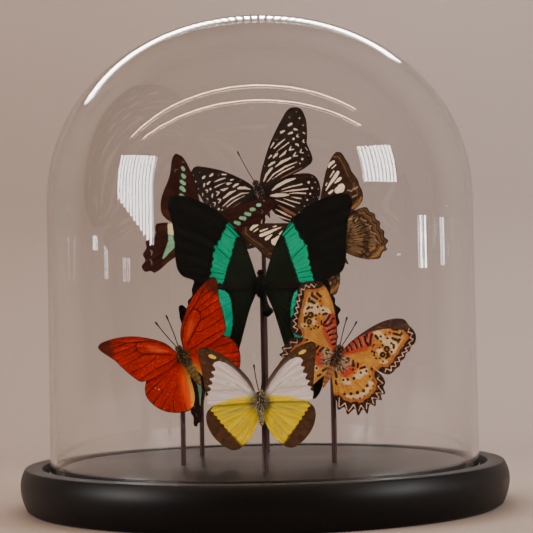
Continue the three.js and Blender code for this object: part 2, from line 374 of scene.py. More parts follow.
draw_wing(
    "gull", "hindwing",
    lead=(1.2, 2, 8, 3.3, 14, 3, 20, 1.2, 23.5, -0.8),
    outer=(23.5, -0.8, 25.5, -3, 26.1, -6, 25.4, -10, 23.5, -14, 20.7, -17.4, 17.3, -20.2, 14,
        -21.6, 11, -21, 9.5, -19.8),
    trail=(9.5, -19.8, 7, -17.8, 4, -14, 2.2, -10, 1, -6.5, 1, -1),
    patches={
        "sun": [(0, 5, 20, 4, 22.6, -0.6, 23.8, -2.4, 22.2, -3.2, 22.4, -4.4, 20.8, -5, 20.8, -6.4,
            19.4, -7, 19.3, -8.4, 17.9, -9.2, 17.6, -10.6, 16.2, -11.4, 15.8, -12.8, 14.4, -13.4,
            13.8, -14.8, 12.4, -15.4, 11.8, -16.8, 10, -19.4, 0, -14)],
        "gold": [(3, -5, 9, -7, 15, -8, 15, -11, 9.5, -18, 5, -14, 2, -8)],
    },
    strokes={
        "ash": [(4, 0.4, 0.3, 14, 0.2, 0.4, 20, -1, 0.2), (4, -2, 0.1, 14, -3.2, 0.3, 19, -4, 0.1),
            (8, -7, 0.1, 12, -10.4, 0.1), (6, -9, 0.1, 9.6, -15, 0.2)],
    })
draw_wing(
    "orange", "forewing",
    lead=(1.4, 2.5, 4.5, 11, 10.5, 17.5, 17, 22.5, 24.5, 26, 30, 27.3, 33, 27.4, 34.4, 26.4),
    outer=(34.4, 26.4, 34.3, 24.8, 33.2, 22, 31.7, 19, 30.4, 16, 29.5, 12.5, 28.4, 8.5, 27, 4.5,
        25.2, 0.9, 23.5, -0.3),
    trail=(23.5, -0.3, 17, -1, 10, -1, 4, 0, 1.4, 0.2),
    patches={
        "dusk": [(27, 27.5, 35, 28, 35, 24, 32, 18.5, 29, 20, 28, 24)],
        "glow": [(5, 6.5, 8.5, 11.5, 12, 14.6, 14, 14, 13, 11.5, 9, 8)],
        "flame": [(3, 6, 10, 16, 18, 21.5, 27, 25.5, 27, 23, 18, 19, 10, 13)],
    },
    strokes={
        "vein": [(2.5, 6, 0.1, 7.5, 13, 0.2, 12, 16.6, 0.35, 16.5, 18.6, 0.45, 20.5, 20.8, 0.25,
            25, 24, 0.2, 28.5, 25.8, 0.2), (4.5, 4.3, 0.2, 9, 7, 0.35, 13, 9.6, 0.35, 16.5, 11.6,
            0.4), (16.5, 18.6, 0.45, 18, 17.1, 0.4, 18.6, 15.2, 0.4, 17.6, 13, 0.35, 16.5, 11.6,
            0.3), (17.6, 17.4, 0.3, 22, 18.1, 0.25, 27, 19, 0.25, 30.5, 19.6, 0.3), (18.6, 15.2,
            0.35, 22, 15.3, 0.25, 26, 15.7, 0.25, 30, 15.6, 0.3), (16.5, 11.6, 0.35, 20, 11.5,
            0.25, 25, 11.7, 0.25, 29, 11.8, 0.3), (11, 8.2, 0.2, 14, 6.7, 0.25, 20, 6.3, 0.22,
            26.5, 7, 0.3), (17, 19, 0.3, 21, 20.9, 0.25, 26, 21.9, 0.25, 31.5, 22.3, 0.25), (19.5,
            20.3, 0.2, 24, 22.8, 0.2, 29, 24.6, 0.2), (3, 1.6, 0.15, 8, 1.5, 0.25, 14, 1.9, 0.3,
            20, 1.8, 0.25, 25.5, 1.4, 0.25), (3, 8, 0.1, 10, 16.2, 0.1, 18, 21.7, 0.12, 26, 25.8,
            0.1)],
    })
draw_wing(
    "orange", "hindwing",
    lead=(1.4, 1.5, 8, 1.5, 16, 0.5, 22.5, -0.5),
    outer=(22.5, -0.5, 25, -3.5, 26.3, -7, 26.2, -10, 25, -14, 22.6, -18, 19, -21.3, 15.5, -23.3,
        11.5, -24.6, 9, -24),
    trail=(9, -24, 6, -20.8, 4, -16, 2.5, -10, 1.2, -5, 1.2, -1),
    patches={
        "honey": [(0, -4, 2, -4, 4, -9, 6, -15, 8, -20, 10, -24, 8, -25, 3, -18, 0, -8)],
        "amber": [(3, -2, 7, -8, 10, -15, 13, -24, 8, -25, 2, -14, 0, -4)],
    },
    strokes={
        "vein": [(5, -2, 0.02, 14, -3.6, 0.1, 20, -5, 0.25, 25.8, -6.5, 0.35), (8, -5, 0.0, 17,
            -8.8, 0.1, 22, -10.8, 0.25, 25.4, -12, 0.4), (13, -11, 0.0, 18, -13.6, 0.2, 23.5,
            -16.8, 0.4), (10, -10, 0.0, 14.6, -14, 0.15, 17.7, -19.5, 0.3, 18.3, -21.5, 0.4), (8,
            -12, 0.0, 11.5, -19, 0.1, 13, -24, 0.3), (3, 0.4, 0.1, 14, -1, 0.1, 23, -1.5, 0.15)],
        # Two small pale spots that are painted glints; they go on the left hindwing only.
        "chalk": [(20.2, -5.9, 0.3), (19.1, -7.4, 0.35)],
    })
draw_wing(
    "lacewing", "forewing",
    lead=(1.4, 3, 3.2, 8.5, 6, 14, 9.5, 19.5, 13, 24, 17, 27.8, 21, 30.3, 24, 31.2, 25.6, 30.9),
    outer=(25.6, 30.9, 28, 29.3, 30.5, 28.2, 32.6, 26.6, 33.8, 24.2, 34, 21.9, 33, 20, 33.2, 17.6,
        32, 15.6, 32.2, 13, 31.1, 11, 31.4, 8.3, 30.2, 6.3, 29.6, 4.2, 28, 2.3, 25.5, 1.6),
    trail=(25.5, 1.6, 20, 2.1, 13, 2.1, 6, 1.6, 1.4, 1),
    patches={
        "blush": [(1, 4, 4, 12, 9, 19.5, 13.5, 19, 14.5, 13, 13, 9.5, 8, 5.5, 3, 2.5)],
        "snow": [(12.5, 19.3, 14.5, 20.6, 17.3, 20.5, 19.2, 19.2, 22, 18.6, 24.6, 19, 27, 18.2,
            27.2, 12.5, 25.2, 12.6, 23.8, 15.4, 20, 15.2, 17, 16.8, 14.5, 17.5), (24.8, 26.2, 26,
            26, 27, 19, 26.2, 19), (19, 17.6, 20.6, 20, 22.6, 20.6, 23.6, 18.4, 21.4, 16.4), (17.6,
            11.6, 19.2, 13.6, 20.4, 12.4, 19.4, 9.4), (22.4, 8.6, 24.8, 8.4, 25.2, 4.6, 23.8, 4.2,
            22, 6.6)],
        "coral": [(17.5, 21, 20, 23.4, 23.5, 25, 25, 24.6, 22, 22.2, 20, 20.2), (14.5, 14.5, 20,
            14.8, 20.5, 11.5, 15, 10.5)],
    },
    strokes={
        "ink": [(3, 6.4, 0.25, 4.4, 5.1, 0.3), (3.6, 8.6, 0.3, 6, 6.6, 0.3), (5, 11, 0.3, 8, 8.6,
            0.3), (6.6, 13.4, 0.35, 10, 9.8, 0.35), (9.6, 15.2, 0.35, 10.8, 13, 0.3, 12.6, 11.8,
            0.3), (12.2, 18, 0.25, 12.8, 15, 0.3, 13.6, 12.2, 0.3), (9.4, 17.4, 0.3, 11.3, 15.5,
            0.25), (14.4, 17.8, 0.5, 15.8, 16.9, 0.45), (22.2, 22.4, 0.35, 25, 22.9, 0.45), (22.6,
            20, 0.4, 24.9, 20, 0.5), (26, 24.3, 0.5, 25.9, 22.6, 0.3), (26.3, 21, 0.4, 26.1, 19.4,
            0.35), (14.8, 11.8, 0.1, 15.4, 13.4, 0.15), (23.2, 17.4, 0.4), (18, 16.2, 0.3), (24.4,
            11.2, 0.5, 23.6, 9.4, 0.4), (15.7, 9.8, 0.35), (17.1, 9.7, 0.35), (22.8, 7.3, 0.3),
            (23, 5.8, 0.2), (23.3, 4.3, 0.3), (22.8, 2.8, 0.2), (21, 24.4, 0.4, 23.4, 24.9, 0.35),
            (23.6, 25.4, 0.3), (20.4, 18.9, 0.4), (24.6, 17, 0.45, 25.2, 15.6, 0.35), (25, 13.4,
            0.35), (19.4, 14.7, 0.4), (18.6, 13, 0.3), (17.6, 8.4, 0.3), (19, 7.4, 0.25), (20.6,
            8.2, 0.3), (16.9, 18.6, 0.4), (18.6, 20.2, 0.3), (20.3, 22.2, 0.3)],
        "ring": [(22.1, 13.8, 1.5), (21.3, 10.3, 1.35), (23.6, 11.7, 0.8)],
        "eye": [(22.3, 13.6, 0.62), (21.4, 10.4, 0.5)],
        "bone": [(4.4, 7.7, 0.12, 5.6, 6, 0.12), (5.8, 9.9, 0.15, 7.6, 7.7, 0.15), (7.2, 12.1,
            0.15, 9.3, 9.2, 0.15), (8.3, 14.4, 0.2, 10.8, 11.1, 0.2), (11, 16.6, 0.2, 11.9, 13.6,
            0.2), (13.3, 17.9, 0.2, 14.2, 14, 0.15), (22.5, 21.3, 0.2, 25.2, 21.6, 0.2)],
        "strip": [(2.5, 8, 0.2, 6, 14.8, 1.2, 10, 20.2, 2, 15, 24.8, 2.7, 20, 27.6, 3.1, 24.5,
            28.6, 2.9, 26.5, 28.4, 1.9)],
        "edge_dark": [(1.5, 4, 0.35, 3.2, 9, 0.45, 6, 14.5, 0.45, 9.5, 20, 0.5, 13, 24.3, 0.5, 17,
            28, 0.5, 21, 30.6, 0.5, 25, 31.2, 0.5)],
    },
    zigzag=(26.4, 30, 27.8, 29.4, 29.2, 28.7, 30.5, 28, 31.8, 26.9, 32.8, 25.5, 33.3, 24, 33.6,
        22.3, 33.4, 20.6, 33.1, 18.9, 32.9, 17.2, 32.5, 15.6, 32.1, 14, 31.8, 12.3, 31.5, 10.6,
        31.1, 9, 30.6, 7.3, 30, 5.7, 29.2, 4.2, 28, 3, 26.4, 2.2))
draw_wing(
    "lacewing", "hindwing",
    lead=(1.4, 2, 8, 2.5, 14, 2.7, 20, 2, 24.5, 0.6),
    outer=(24.5, 0.6, 26.5, -0.8, 27.9, -2.6, 27.7, -4.6, 29.9, -7.4, 28.1, -8.8, 29.6, -11, 27,
        -11.9, 27.7, -15.2, 25, -15.4, 25.5, -20.4, 22.7, -19, 21.5, -22.9, 18.8, -20.4, 16.4,
        -24.5, 13.6, -21.8, 11.2, -24.2, 9, -20.6),
    trail=(9, -20.6, 6.5, -18.3, 4.3, -14.5, 2.2, -10.8, 1, -8.3, 1.2, -3),
    patches={
        "blush": [(6, -1, 9.5, -1, 12, 0.5, 11, -4, 8.5, -8, 5, -7)],
        "snow": [(12, -5, 14, -1, 17, 1, 17.5, -2, 15, -5.5, 12.5, -7), (7, -8.5, 9, -8.6, 12, -8,
            11.5, -10, 9, -11.3, 7.2, -10.6), (20, -4, 22.6, -5, 21.8, -10.5, 19.8, -14, 16.5, -16,
            12, -17, 12, -15.5, 16, -14, 19, -11, 20.3, -7.5)],
        "coral": [(10, 2, 14, 2.4, 12.8, -0.6, 10.4, -1.5)],
    },
    strokes={
        "ink": [(18.6, 1.6, 0.35, 20, 0.6, 0.4), (19.4, -2.4, 0.3), (11.4, 1.2, 0.35, 12, -0.6,
            0.3), (21.6, -3.4, 0.4), (10.2, -2.6, 0.35), (4.4, -11.4, 0.35, 5.4, -12.6, 0.3),
            (11.2, -15.6, 0.5), (12.4, -6.5, 0.55), (9.8, -8.2, 0.5), (7.8, -9.3, 0.42), (14.4,
            -2.5, 0.38), (13.4, -0.6, 0.3, 15.2, 1, 0.4), (16.8, -0.5, 0.35), (11.7, -3.7, 0.2),
            (20, -7.2, 0.55), (19.2, -10.3, 0.6), (16.8, -12.4, 0.65), (14, -14.2, 0.6), (22, -1.8,
            0.4, 22.3, -0.3, 0.3), (10, -18.5, 0.45), (6.4, -17.6, 0.15, 7.8, -16.9, 0.3, 9, -17.5,
            0.15), (22.6, -4, 0.22), (22.7, -6.2, 0.25), (22.2, -9, 0.25), (20.6, -12.6, 0.25),
            (19, -14.6, 0.28), (16.1, -16, 0.3), (13.6, -17, 0.2), (12.2, -17.4, 0.2), (11, -16,
            0.25), (8.6, 1.4, 0.5, 9.6, -0.6, 0.6), (5, -4, 0.4, 6, -5.7, 0.5), (3.2, 0.9, 0.4, 5,
            -0.5, 0.4), (6.4, 1.2, 0.3, 5.6, -0.4, 0.35, 6.6, -2, 0.3), (1.6, -1.5, 0.5, 3.4, -3,
            0.4), (2, -4.2, 0.4, 4, -5.4, 0.3), (3, -7.8, 0.4, 4, -9.2, 0.35), (1.6, -6.4, 0.3,
            2.6, -7.4, 0.3)],
        "bone": [(7.4, 1.5, 0.3, 8, -0.8, 0.3), (4.4, 1, 0.2, 4.6, -2.2, 0.25), (2.6, -2.2, 0.25,
            4.6, -3, 0.2), (2.6, -5.6, 0.25, 3.6, -6.6, 0.25)],
    },
    zigzag=(24.6, 0.2, 25.6, -0.8, 27.7, -2.8, 27.6, -5, 29.7, -7.4, 28.1, -9.3, 29.4, -11, 27,
        -12.8, 27.5, -15.2, 25.4, -17, 25.3, -20.2, 22.7, -19.6, 21.4, -22.7, 18.8, -21, 16.4,
        -24.3, 13.6, -22.4, 11.2, -24, 9, -21))
draw_wing(
    "swallowtail", "forewing",
    lead=(1.8, 3, 4.5, 12, 8, 21.5, 13, 30, 20, 37, 28.5, 42.8, 35, 45.6, 40, 47, 44.3, 47.2),
    outer=(44.3, 47.2, 47.2, 45.6, 48.2, 42, 47.3, 38, 46.1, 34, 45.4, 29, 44.9, 24, 44.8, 18,
        44.4, 13, 43.5, 9, 42, 6.5, 40, 5, 37, 4),
    trail=(37, 4, 30, 1, 20, -1, 10, -1.5, 1.8, -1),
    patches={
        "teal": [(10.8, 25.4, 12.6, 25.6, 15.6, 15.5, 18, 8, 20.2, 1.3, 27.6, 2.2, 26.8, 4, 27,
            5.4, 25.8, 7, 26.2, 9, 25.2, 10.4, 25.6, 12.4, 24.6, 14, 25, 16.6, 24, 18.4, 24.2,
            20.8, 22.6, 21.2, 22.4, 23, 20.8, 23.8, 19.8, 27.4, 18.4, 29, 17.8, 31.6, 16, 33, 14.2,
            30.4)],
        "moss": [(2, 4, 8, 19, 14, 28, 16, 14, 20, 2, 4, -1)],
    },
    strokes={
        "rib": [(11, 26.6, 0.3, 18.4, 34, 0.25), (12.6, 25.8, 0.22, 18.6, 31.6, 0.22), (14.6, 24.6,
            0.08, 19.6, 27.6, 0.1), (16.2, 13.6, 0.14, 23.4, 20.8, 0.12), (19.4, 6.4, 0.1, 26.4,
            7.6, 0.1), (20, 3.6, 0.08, 27.4, 4.4, 0.08)],
        "plum": [(6, -1, 0.6, 16, -0.6, 1, 25, 0.4, 1.2)],
    })
draw_wing(
    "swallowtail", "hindwing",
    lead=(1.8, 1, 12, 2, 22, 3, 30, 3.4, 35, 2.4),
    outer=(35, 2.4, 36.3, -1.5, 36.1, -4.5, 38.6, -7.5, 38.3, -10, 41.4, -13, 39.7, -16, 40.6, -20,
        38.6, -23, 39.6, -27.5, 36.8, -30.5, 36.8, -34.5, 34.2, -38, 32.6, -43, 31.6, -50, 29.2,
        -56.4, 26.3, -59.2, 23.8, -57.3, 24.4, -51, 24.3, -47.2, 22, -44.8, 19.5, -46.5, 16.5,
        -44.6),
    trail=(16.5, -44.6, 14.2, -39, 11.6, -31, 9, -22, 6, -12, 3, -5, 1.8, -2),
    patches={
        "teal": [(19.4, -2.2, 17.2, -4, 15.9, -8, 15.3, -14, 15.4, -20, 16.4, -25, 18.4, -29, 21.6,
            -29.6, 21.4, -24, 21.8, -18, 22.4, -11, 23.8, -6, 24.6, -2.4, 22, -1.6)],
        "moss": [(2, -2, 14, -3, 14, -20, 16, -34, 12, -30, 6, -12)],
    },
    strokes={
        "rib": [(14.6, -13.6, 0.1, 22, -17.4, 0.1), (15, -22.6, 0.08, 21.5, -25, 0.08), (17, -6.4,
            0.06, 23, -9, 0.06)],
        "plum": [(6, 1, 0.6, 15, 1, 1.2, 25, 1.8, 1.6)],
    })
draw_wing(
    "tiger", "forewing",
    lead=(1.4, 2.5, 5.5, 9, 11, 15.5, 17, 21.8, 23.5, 27.3, 30, 32, 34, 34.5, 36.5, 35),
    outer=(36.5, 35, 39.5, 33.8, 41.8, 31.4, 42.3, 28, 42, 24, 40.6, 19.5, 38.8, 15, 37.2, 12, 37,
        8, 37, 4.5, 36.3, 1.5, 34.5, -0.2),
    trail=(34.5, -0.2, 30, -0.9, 22, -1, 12, -1, 1.4, -0.9),
    strokes={
        "cream": [(4.9, 3.6, 0.35, 8, 6.2, 0.8, 11.6, 8, 0.85, 13, 8.3, 0.4), (11.2, 10.4, 0.5,
            13.4, 10.8, 0.8, 15.4, 10.7, 0.5), (13, 14.4, 0.3, 15, 15.1, 0.6), (15.5, 13.3, 0.35,
            18, 14.2, 0.9, 19, 14.6, 0.4), (16.4, 19.3, 0.3, 19.3, 21.1, 0.6), (20.6, 22.6, 0.25,
            22, 21.7, 0.3), (18.2, 18, 0.3, 22, 19.2, 0.6, 26.4, 19.9, 0.25), (19, 15.6, 0.2, 24,
            16.5, 0.4, 27.6, 17, 0.45), (19.2, 12, 0.35, 22.6, 12.6, 0.75, 24.4, 13.6, 0.3), (26.2,
            13, 0.45, 28, 14.5, 0.35), (26.2, 12.9, 0.5, 28.8, 12, 0.35), (14.6, 8, 0.25, 19, 8.7,
            0.9, 24.8, 8.5, 0.6), (27, 8.7, 0.5, 29, 9.9, 0.35), (27, 8.6, 0.5, 29.3, 7.6, 0.35),
            (6.5, 2.2, 0.2, 12, 4.6, 0.5, 20, 5.3, 0.55, 27.4, 4.6, 0.35), (10, 2.3, 0.15, 18, 3.3,
            0.42, 25, 2.9, 0.3), (28.8, 2.9, 0.5), (31, 4.6, 0.8), (31.6, 8.8, 0.45, 33, 10.1,
            0.3), (31.6, 8.7, 0.45, 33.1, 7.4, 0.3), (31, 14.2, 0.5, 31.9, 13.4, 0.6, 32, 12.4,
            0.35), (35.4, 13.5, 0.4, 36.4, 14.3, 0.25), (35.4, 13.5, 0.35, 36, 12.4, 0.25), (35.4,
            9.8, 0.3, 35.7, 7.8, 0.3), (35.3, 4.7, 0.4), (35, 2.2, 0.3), (31, 17.6, 0.8), (33.4,
            18.1, 0.55, 34.6, 18.8, 0.3), (33.4, 17.8, 0.5, 34.4, 17, 0.3), (37.6, 18.2, 0.45,
            38.3, 17.1, 0.35), (29.4, 21.7, 0.5, 31.6, 21.3, 0.7), (33.7, 22.4, 0.7, 35, 21.4,
            0.5), (39.3, 22.1, 0.5), (25.8, 24.6, 0.8, 28, 24.4, 0.5), (31.6, 26.2, 0.75, 33.2,
            26.1, 0.8), (39, 26.9, 0.6), (33.8, 30.2, 0.45), (38.8, 31, 0.4), (9, 11.4, 0.3), (7.2,
            8.8, 0.2)],
        "peach": [(15, 0.4, 0.25, 22, 0.3, 0.35, 28.5, 0.2, 0.3)],
    })
draw_wing(
    "tiger", "hindwing",
    lead=(1.4, 0.5, 8, 0, 15, 0, 22, -0.8, 27, -2.5, 31, -4.5),
    outer=(31, -4.5, 33.6, -7.5, 34.3, -11.5, 33.6, -15.5, 31.8, -18.8, 29.3, -21.3, 26, -23.6, 22,
        -25.4, 17.5, -26.5, 13, -26.5, 10.5, -25.6),
    trail=(10.5, -25.6, 6.5, -21.8, 3.5, -16, 2, -9, 1.4, -3),
    strokes={
        "cream": [(7.4, -3.2, 0.45, 11, -2.5, 0.95, 17, -2.3, 1.1, 22.3, -3.4, 0.5), (5.3, -5.7,
            0.5, 8.5, -7, 1.1, 13, -9.1, 1, 15.5, -10.4, 0.25), (12, -5.4, 0.2, 17, -6.2, 0.45,
            24.6, -8.3, 0.5), (11.5, -6.7, 0.2, 18, -8.8, 0.5, 26.8, -12.2, 0.45), (15.6, -9.5,
            0.2, 20, -11.4, 0.5, 24.6, -14, 0.45), (16, -11.9, 0.2, 18.4, -13.6, 0.5, 21, -15.4,
            0.4), (11.8, -10.8, 0.2, 15, -13.9, 0.45, 19.2, -17.5, 0.35), (7, -9, 0.2, 11.5, -13.5,
            0.45, 15.8, -18.2, 0.3), (5, -14.2, 0.3, 8.3, -18.3, 0.7, 11.6, -22.3, 0.35), (3.4,
            -16.6, 0.3, 6.3, -19.8, 0.55, 10.4, -23.6, 0.25), (28.7, -9.1, 0.8), (29.3, -13, 0.65),
            (27, -15.5, 0.65), (24, -17.7, 0.6), (32.2, -10.9, 0.45), (21.2, -20.2, 0.5), (31.8,
            -7.3, 0.35), (32.4, -15.2, 0.4), (30.4, -19.2, 0.4), (28, -18.2, 0.4), (23.6, -15.9,
            0.3), (25.4, -21.4, 0.4), (20, -23.6, 0.4), (17, -22, 0.4), (14.5, -24.6, 0.35)],
        "peach": [(7.2, -12.6, 0.2, 10.6, -17.6, 0.85, 14, -22, 0.7)],
        "sable": [(22, -1.5, 1, 28, -5.5, 1.6)],
    })
draw_wing(
    "clipper", "forewing",
    lead=(1.4, 2.5, 5, 13, 11, 20.5, 17, 25.4, 22, 29.4, 27, 32.4, 31, 34, 33.3, 34.3),
    outer=(33.3, 34.3, 35, 32.8, 35.3, 31, 34.9, 28, 34.4, 24.5, 33.2, 21, 33, 18, 32.6, 14.5,
        31.5, 12, 31, 9.5, 29.8, 7, 28, 5, 25, 3.8),
    trail=(25, 3.8, 20, 3.5, 12, 2.8, 5, 1, 1.4, 0),
    strokes={
        "window": [(24.9, 30.4, 0.4, 27, 31.2, 0.85, 29, 31, 0.75), (25.9, 28.8, 0.3, 28.8, 28.9,
            0.3), (21.9, 25.6, 0.25, 25.8, 26.9, 0.45), (15.8, 21.6, 0.25, 20, 22.9, 0.6, 24, 24,
            0.95, 27, 25, 0.9), (22.3, 21.5, 0.35, 24.6, 21.6, 0.85, 26, 21.7, 0.75), (20.6, 17.6,
            1.6, 22.4, 17.2, 2.1, 23.4, 17.6, 1.9), (16.3, 19.2, 0.6, 18.6, 19.2, 0.5), (17.4,
            23.7, 0.35, 18.8, 24.4, 0.3), (10, 15, 0.5, 14, 17.6, 0.8), (13, 11, 0.8, 17, 12.6,
            1.2), (19, 12.8, 0.9, 22, 13.2, 0.8)],
        "lilac": [(27.6, 12.6, 0.5, 30, 12, 0.5), (25, 14, 0.4, 26.4, 12.4, 0.4), (24.6, 9.6, 0.35,
            27, 9, 0.3)],
        "straw": [(21, 5, 0.7, 25, 4.9, 0.8, 28, 6.4, 0.5)],
        "brown": [(25.6, 10.8, 0.5, 27.6, 10.6, 0.4), (24, 7.4, 0.5, 28, 8, 0.5), (29.6, 9.6, 0.4),
            (30.4, 15.6, 0.5, 30.6, 18.6, 0.5)],
    })
draw_wing(
    "clipper", "hindwing",
    lead=(1.4, 1.5, 8, 3.4, 14, 4, 20, 3.7, 25, 2.1),
    outer=(25, 2.1, 27.2, 0.3, 26.9, -2.3, 28.2, -5, 27, -7.5, 27.6, -10.3, 25.8, -12.5, 26.3,
        -15.5, 24.4, -17.8, 24.8, -20.8, 21.8, -22, 21.3, -24.1, 18.4, -23.6, 15.4, -25.2, 12.5,
        -23.6, 10, -22),
    trail=(10, -22, 7.5, -19, 5, -15.5, 3.4, -12.5, 2, -8, 1.4, -3),
    strokes={
        "lilac": [(16, 1.4, 0.6, 17, 0.6, 0.3), (17.5, -1.4, 0.4, 19.6, -1, 0.35), (19.8, -15.4,
            0.3, 19.8, -19, 0.35), (20.4, -10.8, 0.3, 22, -14.6, 0.3), (21, -6, 0.3, 22.6, -9,
            0.25), (20.4, -2, 0.2, 22.4, -5, 0.25)],
        "straw": [(11, -22, 0.6, 15, -22.8, 0.9, 20, -21.6, 0.7), (14, -18.6, 0.7, 16.4, -19, 0.8),
            (10.6, -17, 0.6)],
        "brown": [(17.6, 3.4, 0.6, 20, 3, 0.7, 21.8, 1.6, 0.5), (16.6, -0.6, 0.5, 18, 0, 0.3), (10,
            -16, 0.4, 10.4, -19.6, 0.5), (12.4, -19.6, 0.4, 13.6, -20.6, 0.3), (8.6, -6, 0.5, 13,
            -3, 0.5)],
    })
draw_wing(
    "bluebottle", "forewing",
    lead=(1.4, 2.5, 3.5, 11, 8, 17.8, 13, 23.6, 18, 28.6, 23, 32.6, 26, 34.3, 28, 34.7),
    outer=(28, 34.7, 30.4, 34.3, 31, 32, 30.2, 28.3, 28.6, 24, 27.6, 19, 27.3, 13.5, 26.4, 8, 24.5,
        3.5, 22, 0.8, 19, -0.4),
    trail=(19, -0.4, 14, -0.9, 8, -0.5, 1.4, 0.3),
    strokes={
        "mint": [(24.2, 31.9, 0.35, 25.2, 32.2, 0.35), (22.6, 28.4, 1, 23.6, 29, 0.95), (20.6,
            24.8, 1.2, 21.8, 25.4, 1), (18.8, 21.4, 1, 20.8, 21.8, 1.05), (17.2, 18, 1, 19.2, 18.6,
            1.25), (15.6, 14.6, 1, 17.6, 14.8, 1.2), (14.6, 11.2, 0.9, 16.2, 11.2, 1.1), (14, 7.6,
            0.8, 15.2, 7.6, 0.9)],
        "frost": [(25, 27.2, 0.1, 26.9, 26.4, 0.18, 26.2, 25, 0.1)],
        "rust": [(10, 4, 1, 16, 2, 1.4, 21, 3, 1.6)],
    })
draw_wing(
    "bluebottle", "hindwing",
    lead=(1.4, 1, 9, 0, 15, -0.8, 19.5, -2.5, 23, -5),
    outer=(23, -5, 22.6, -7.5, 21, -10, 21.4, -13, 24, -16.6, 22.2, -19, 22.3, -23.4, 19.8, -25.5,
        20, -29.6, 17, -31.2, 14.8, -29.6, 12.2, -29.6),
    trail=(12.2, -29.6, 10.2, -26.5, 8, -21, 5.6, -16.5, 4, -11, 2.2, -6, 1.4, -2),
    patches={
        "mint": [(13.6, 0, 17, -0.4, 17.2, -2.6, 14.9, -7, 13.3, -10, 12.7, -14, 12, -20.4, 11,
            -21, 9.6, -16, 8.3, -12.4, 9.2, -10, 11.4, -7.8, 12.4, -4.4)],
        "cream": [(13.4, -0.4, 17.2, -0.8, 17.2, -2.6, 15, -7, 12, -6.6)],
    },
    strokes={
        "frost": [(19.6, -16.2, 0.35, 19.7, -15, 0.3, 20.9, -14.4, 0.4), (18, -21.6, 0.25, 18.5,
            -19.7, 0.35, 20.1, -19.3, 0.25), (15.6, -26, 0.3, 16.4, -24.6, 0.35, 17.6, -24, 0.25),
            (20.8, -9, 0.2, 21.4, -11, 0.25)],
        "rust": [(5, -12, 0.8, 8, -18, 0.9, 10, -23, 0.6), (17, -4, 0.6, 20, -6, 0.8)],
    })

FIELDS = sorted({field for drawing in WINGS.values() for group in ("strokes", "patches")
                 for field in drawing[group]})

# ---- where each butterfly is fixed --------------------------------------------------------
# at: middle of the thorax. spin, yaw: degrees the body leans and turns. raise: degrees each
# wing is lifted to the front. rod: how far the rod stands sideways of the body's middle.
BUTTERFLIES = [
    {"name": "gull", "at": (-1.3, -66, 55.1), "spin": -2, "yaw": -6.3, "raise": 6.7, "rod": 1.2},
    {"name": "orange", "at": (-39.9, -19, 76.8), "spin": -30, "yaw": 6, "raise": 3.5, "rod": -0.8},
    {"name": "lacewing", "at": (37.1, -18, 75.3), "spin": 24.7, "yaw": 11, "raise": 14, "rod": -1},
    {"name": "swallowtail", "at": (-0.3, 0, 112.6), "spin": 0, "yaw": 5, "raise": 7, "rod": 1},
    {"name": "clipper", "at": (36.8, 30, 137.5), "spin": -38, "yaw": -4, "raise": 6, "rod": 0.8},
    {"name": "bluebottle", "at": (-34.3, 38, 142.6), "spin": 27, "yaw": 0, "raise": 3, "rod": 0},
    {"name": "low_bluebottle", "at": (-30.2, 40.3, 71), "spin": -4, "yaw": 60, "raise": 6,
     "rod": None},
    {"name": "tiger", "at": (-0.6, 60, 167.5), "spin": -24, "yaw": -31, "raise": -8, "rod": 0},
]


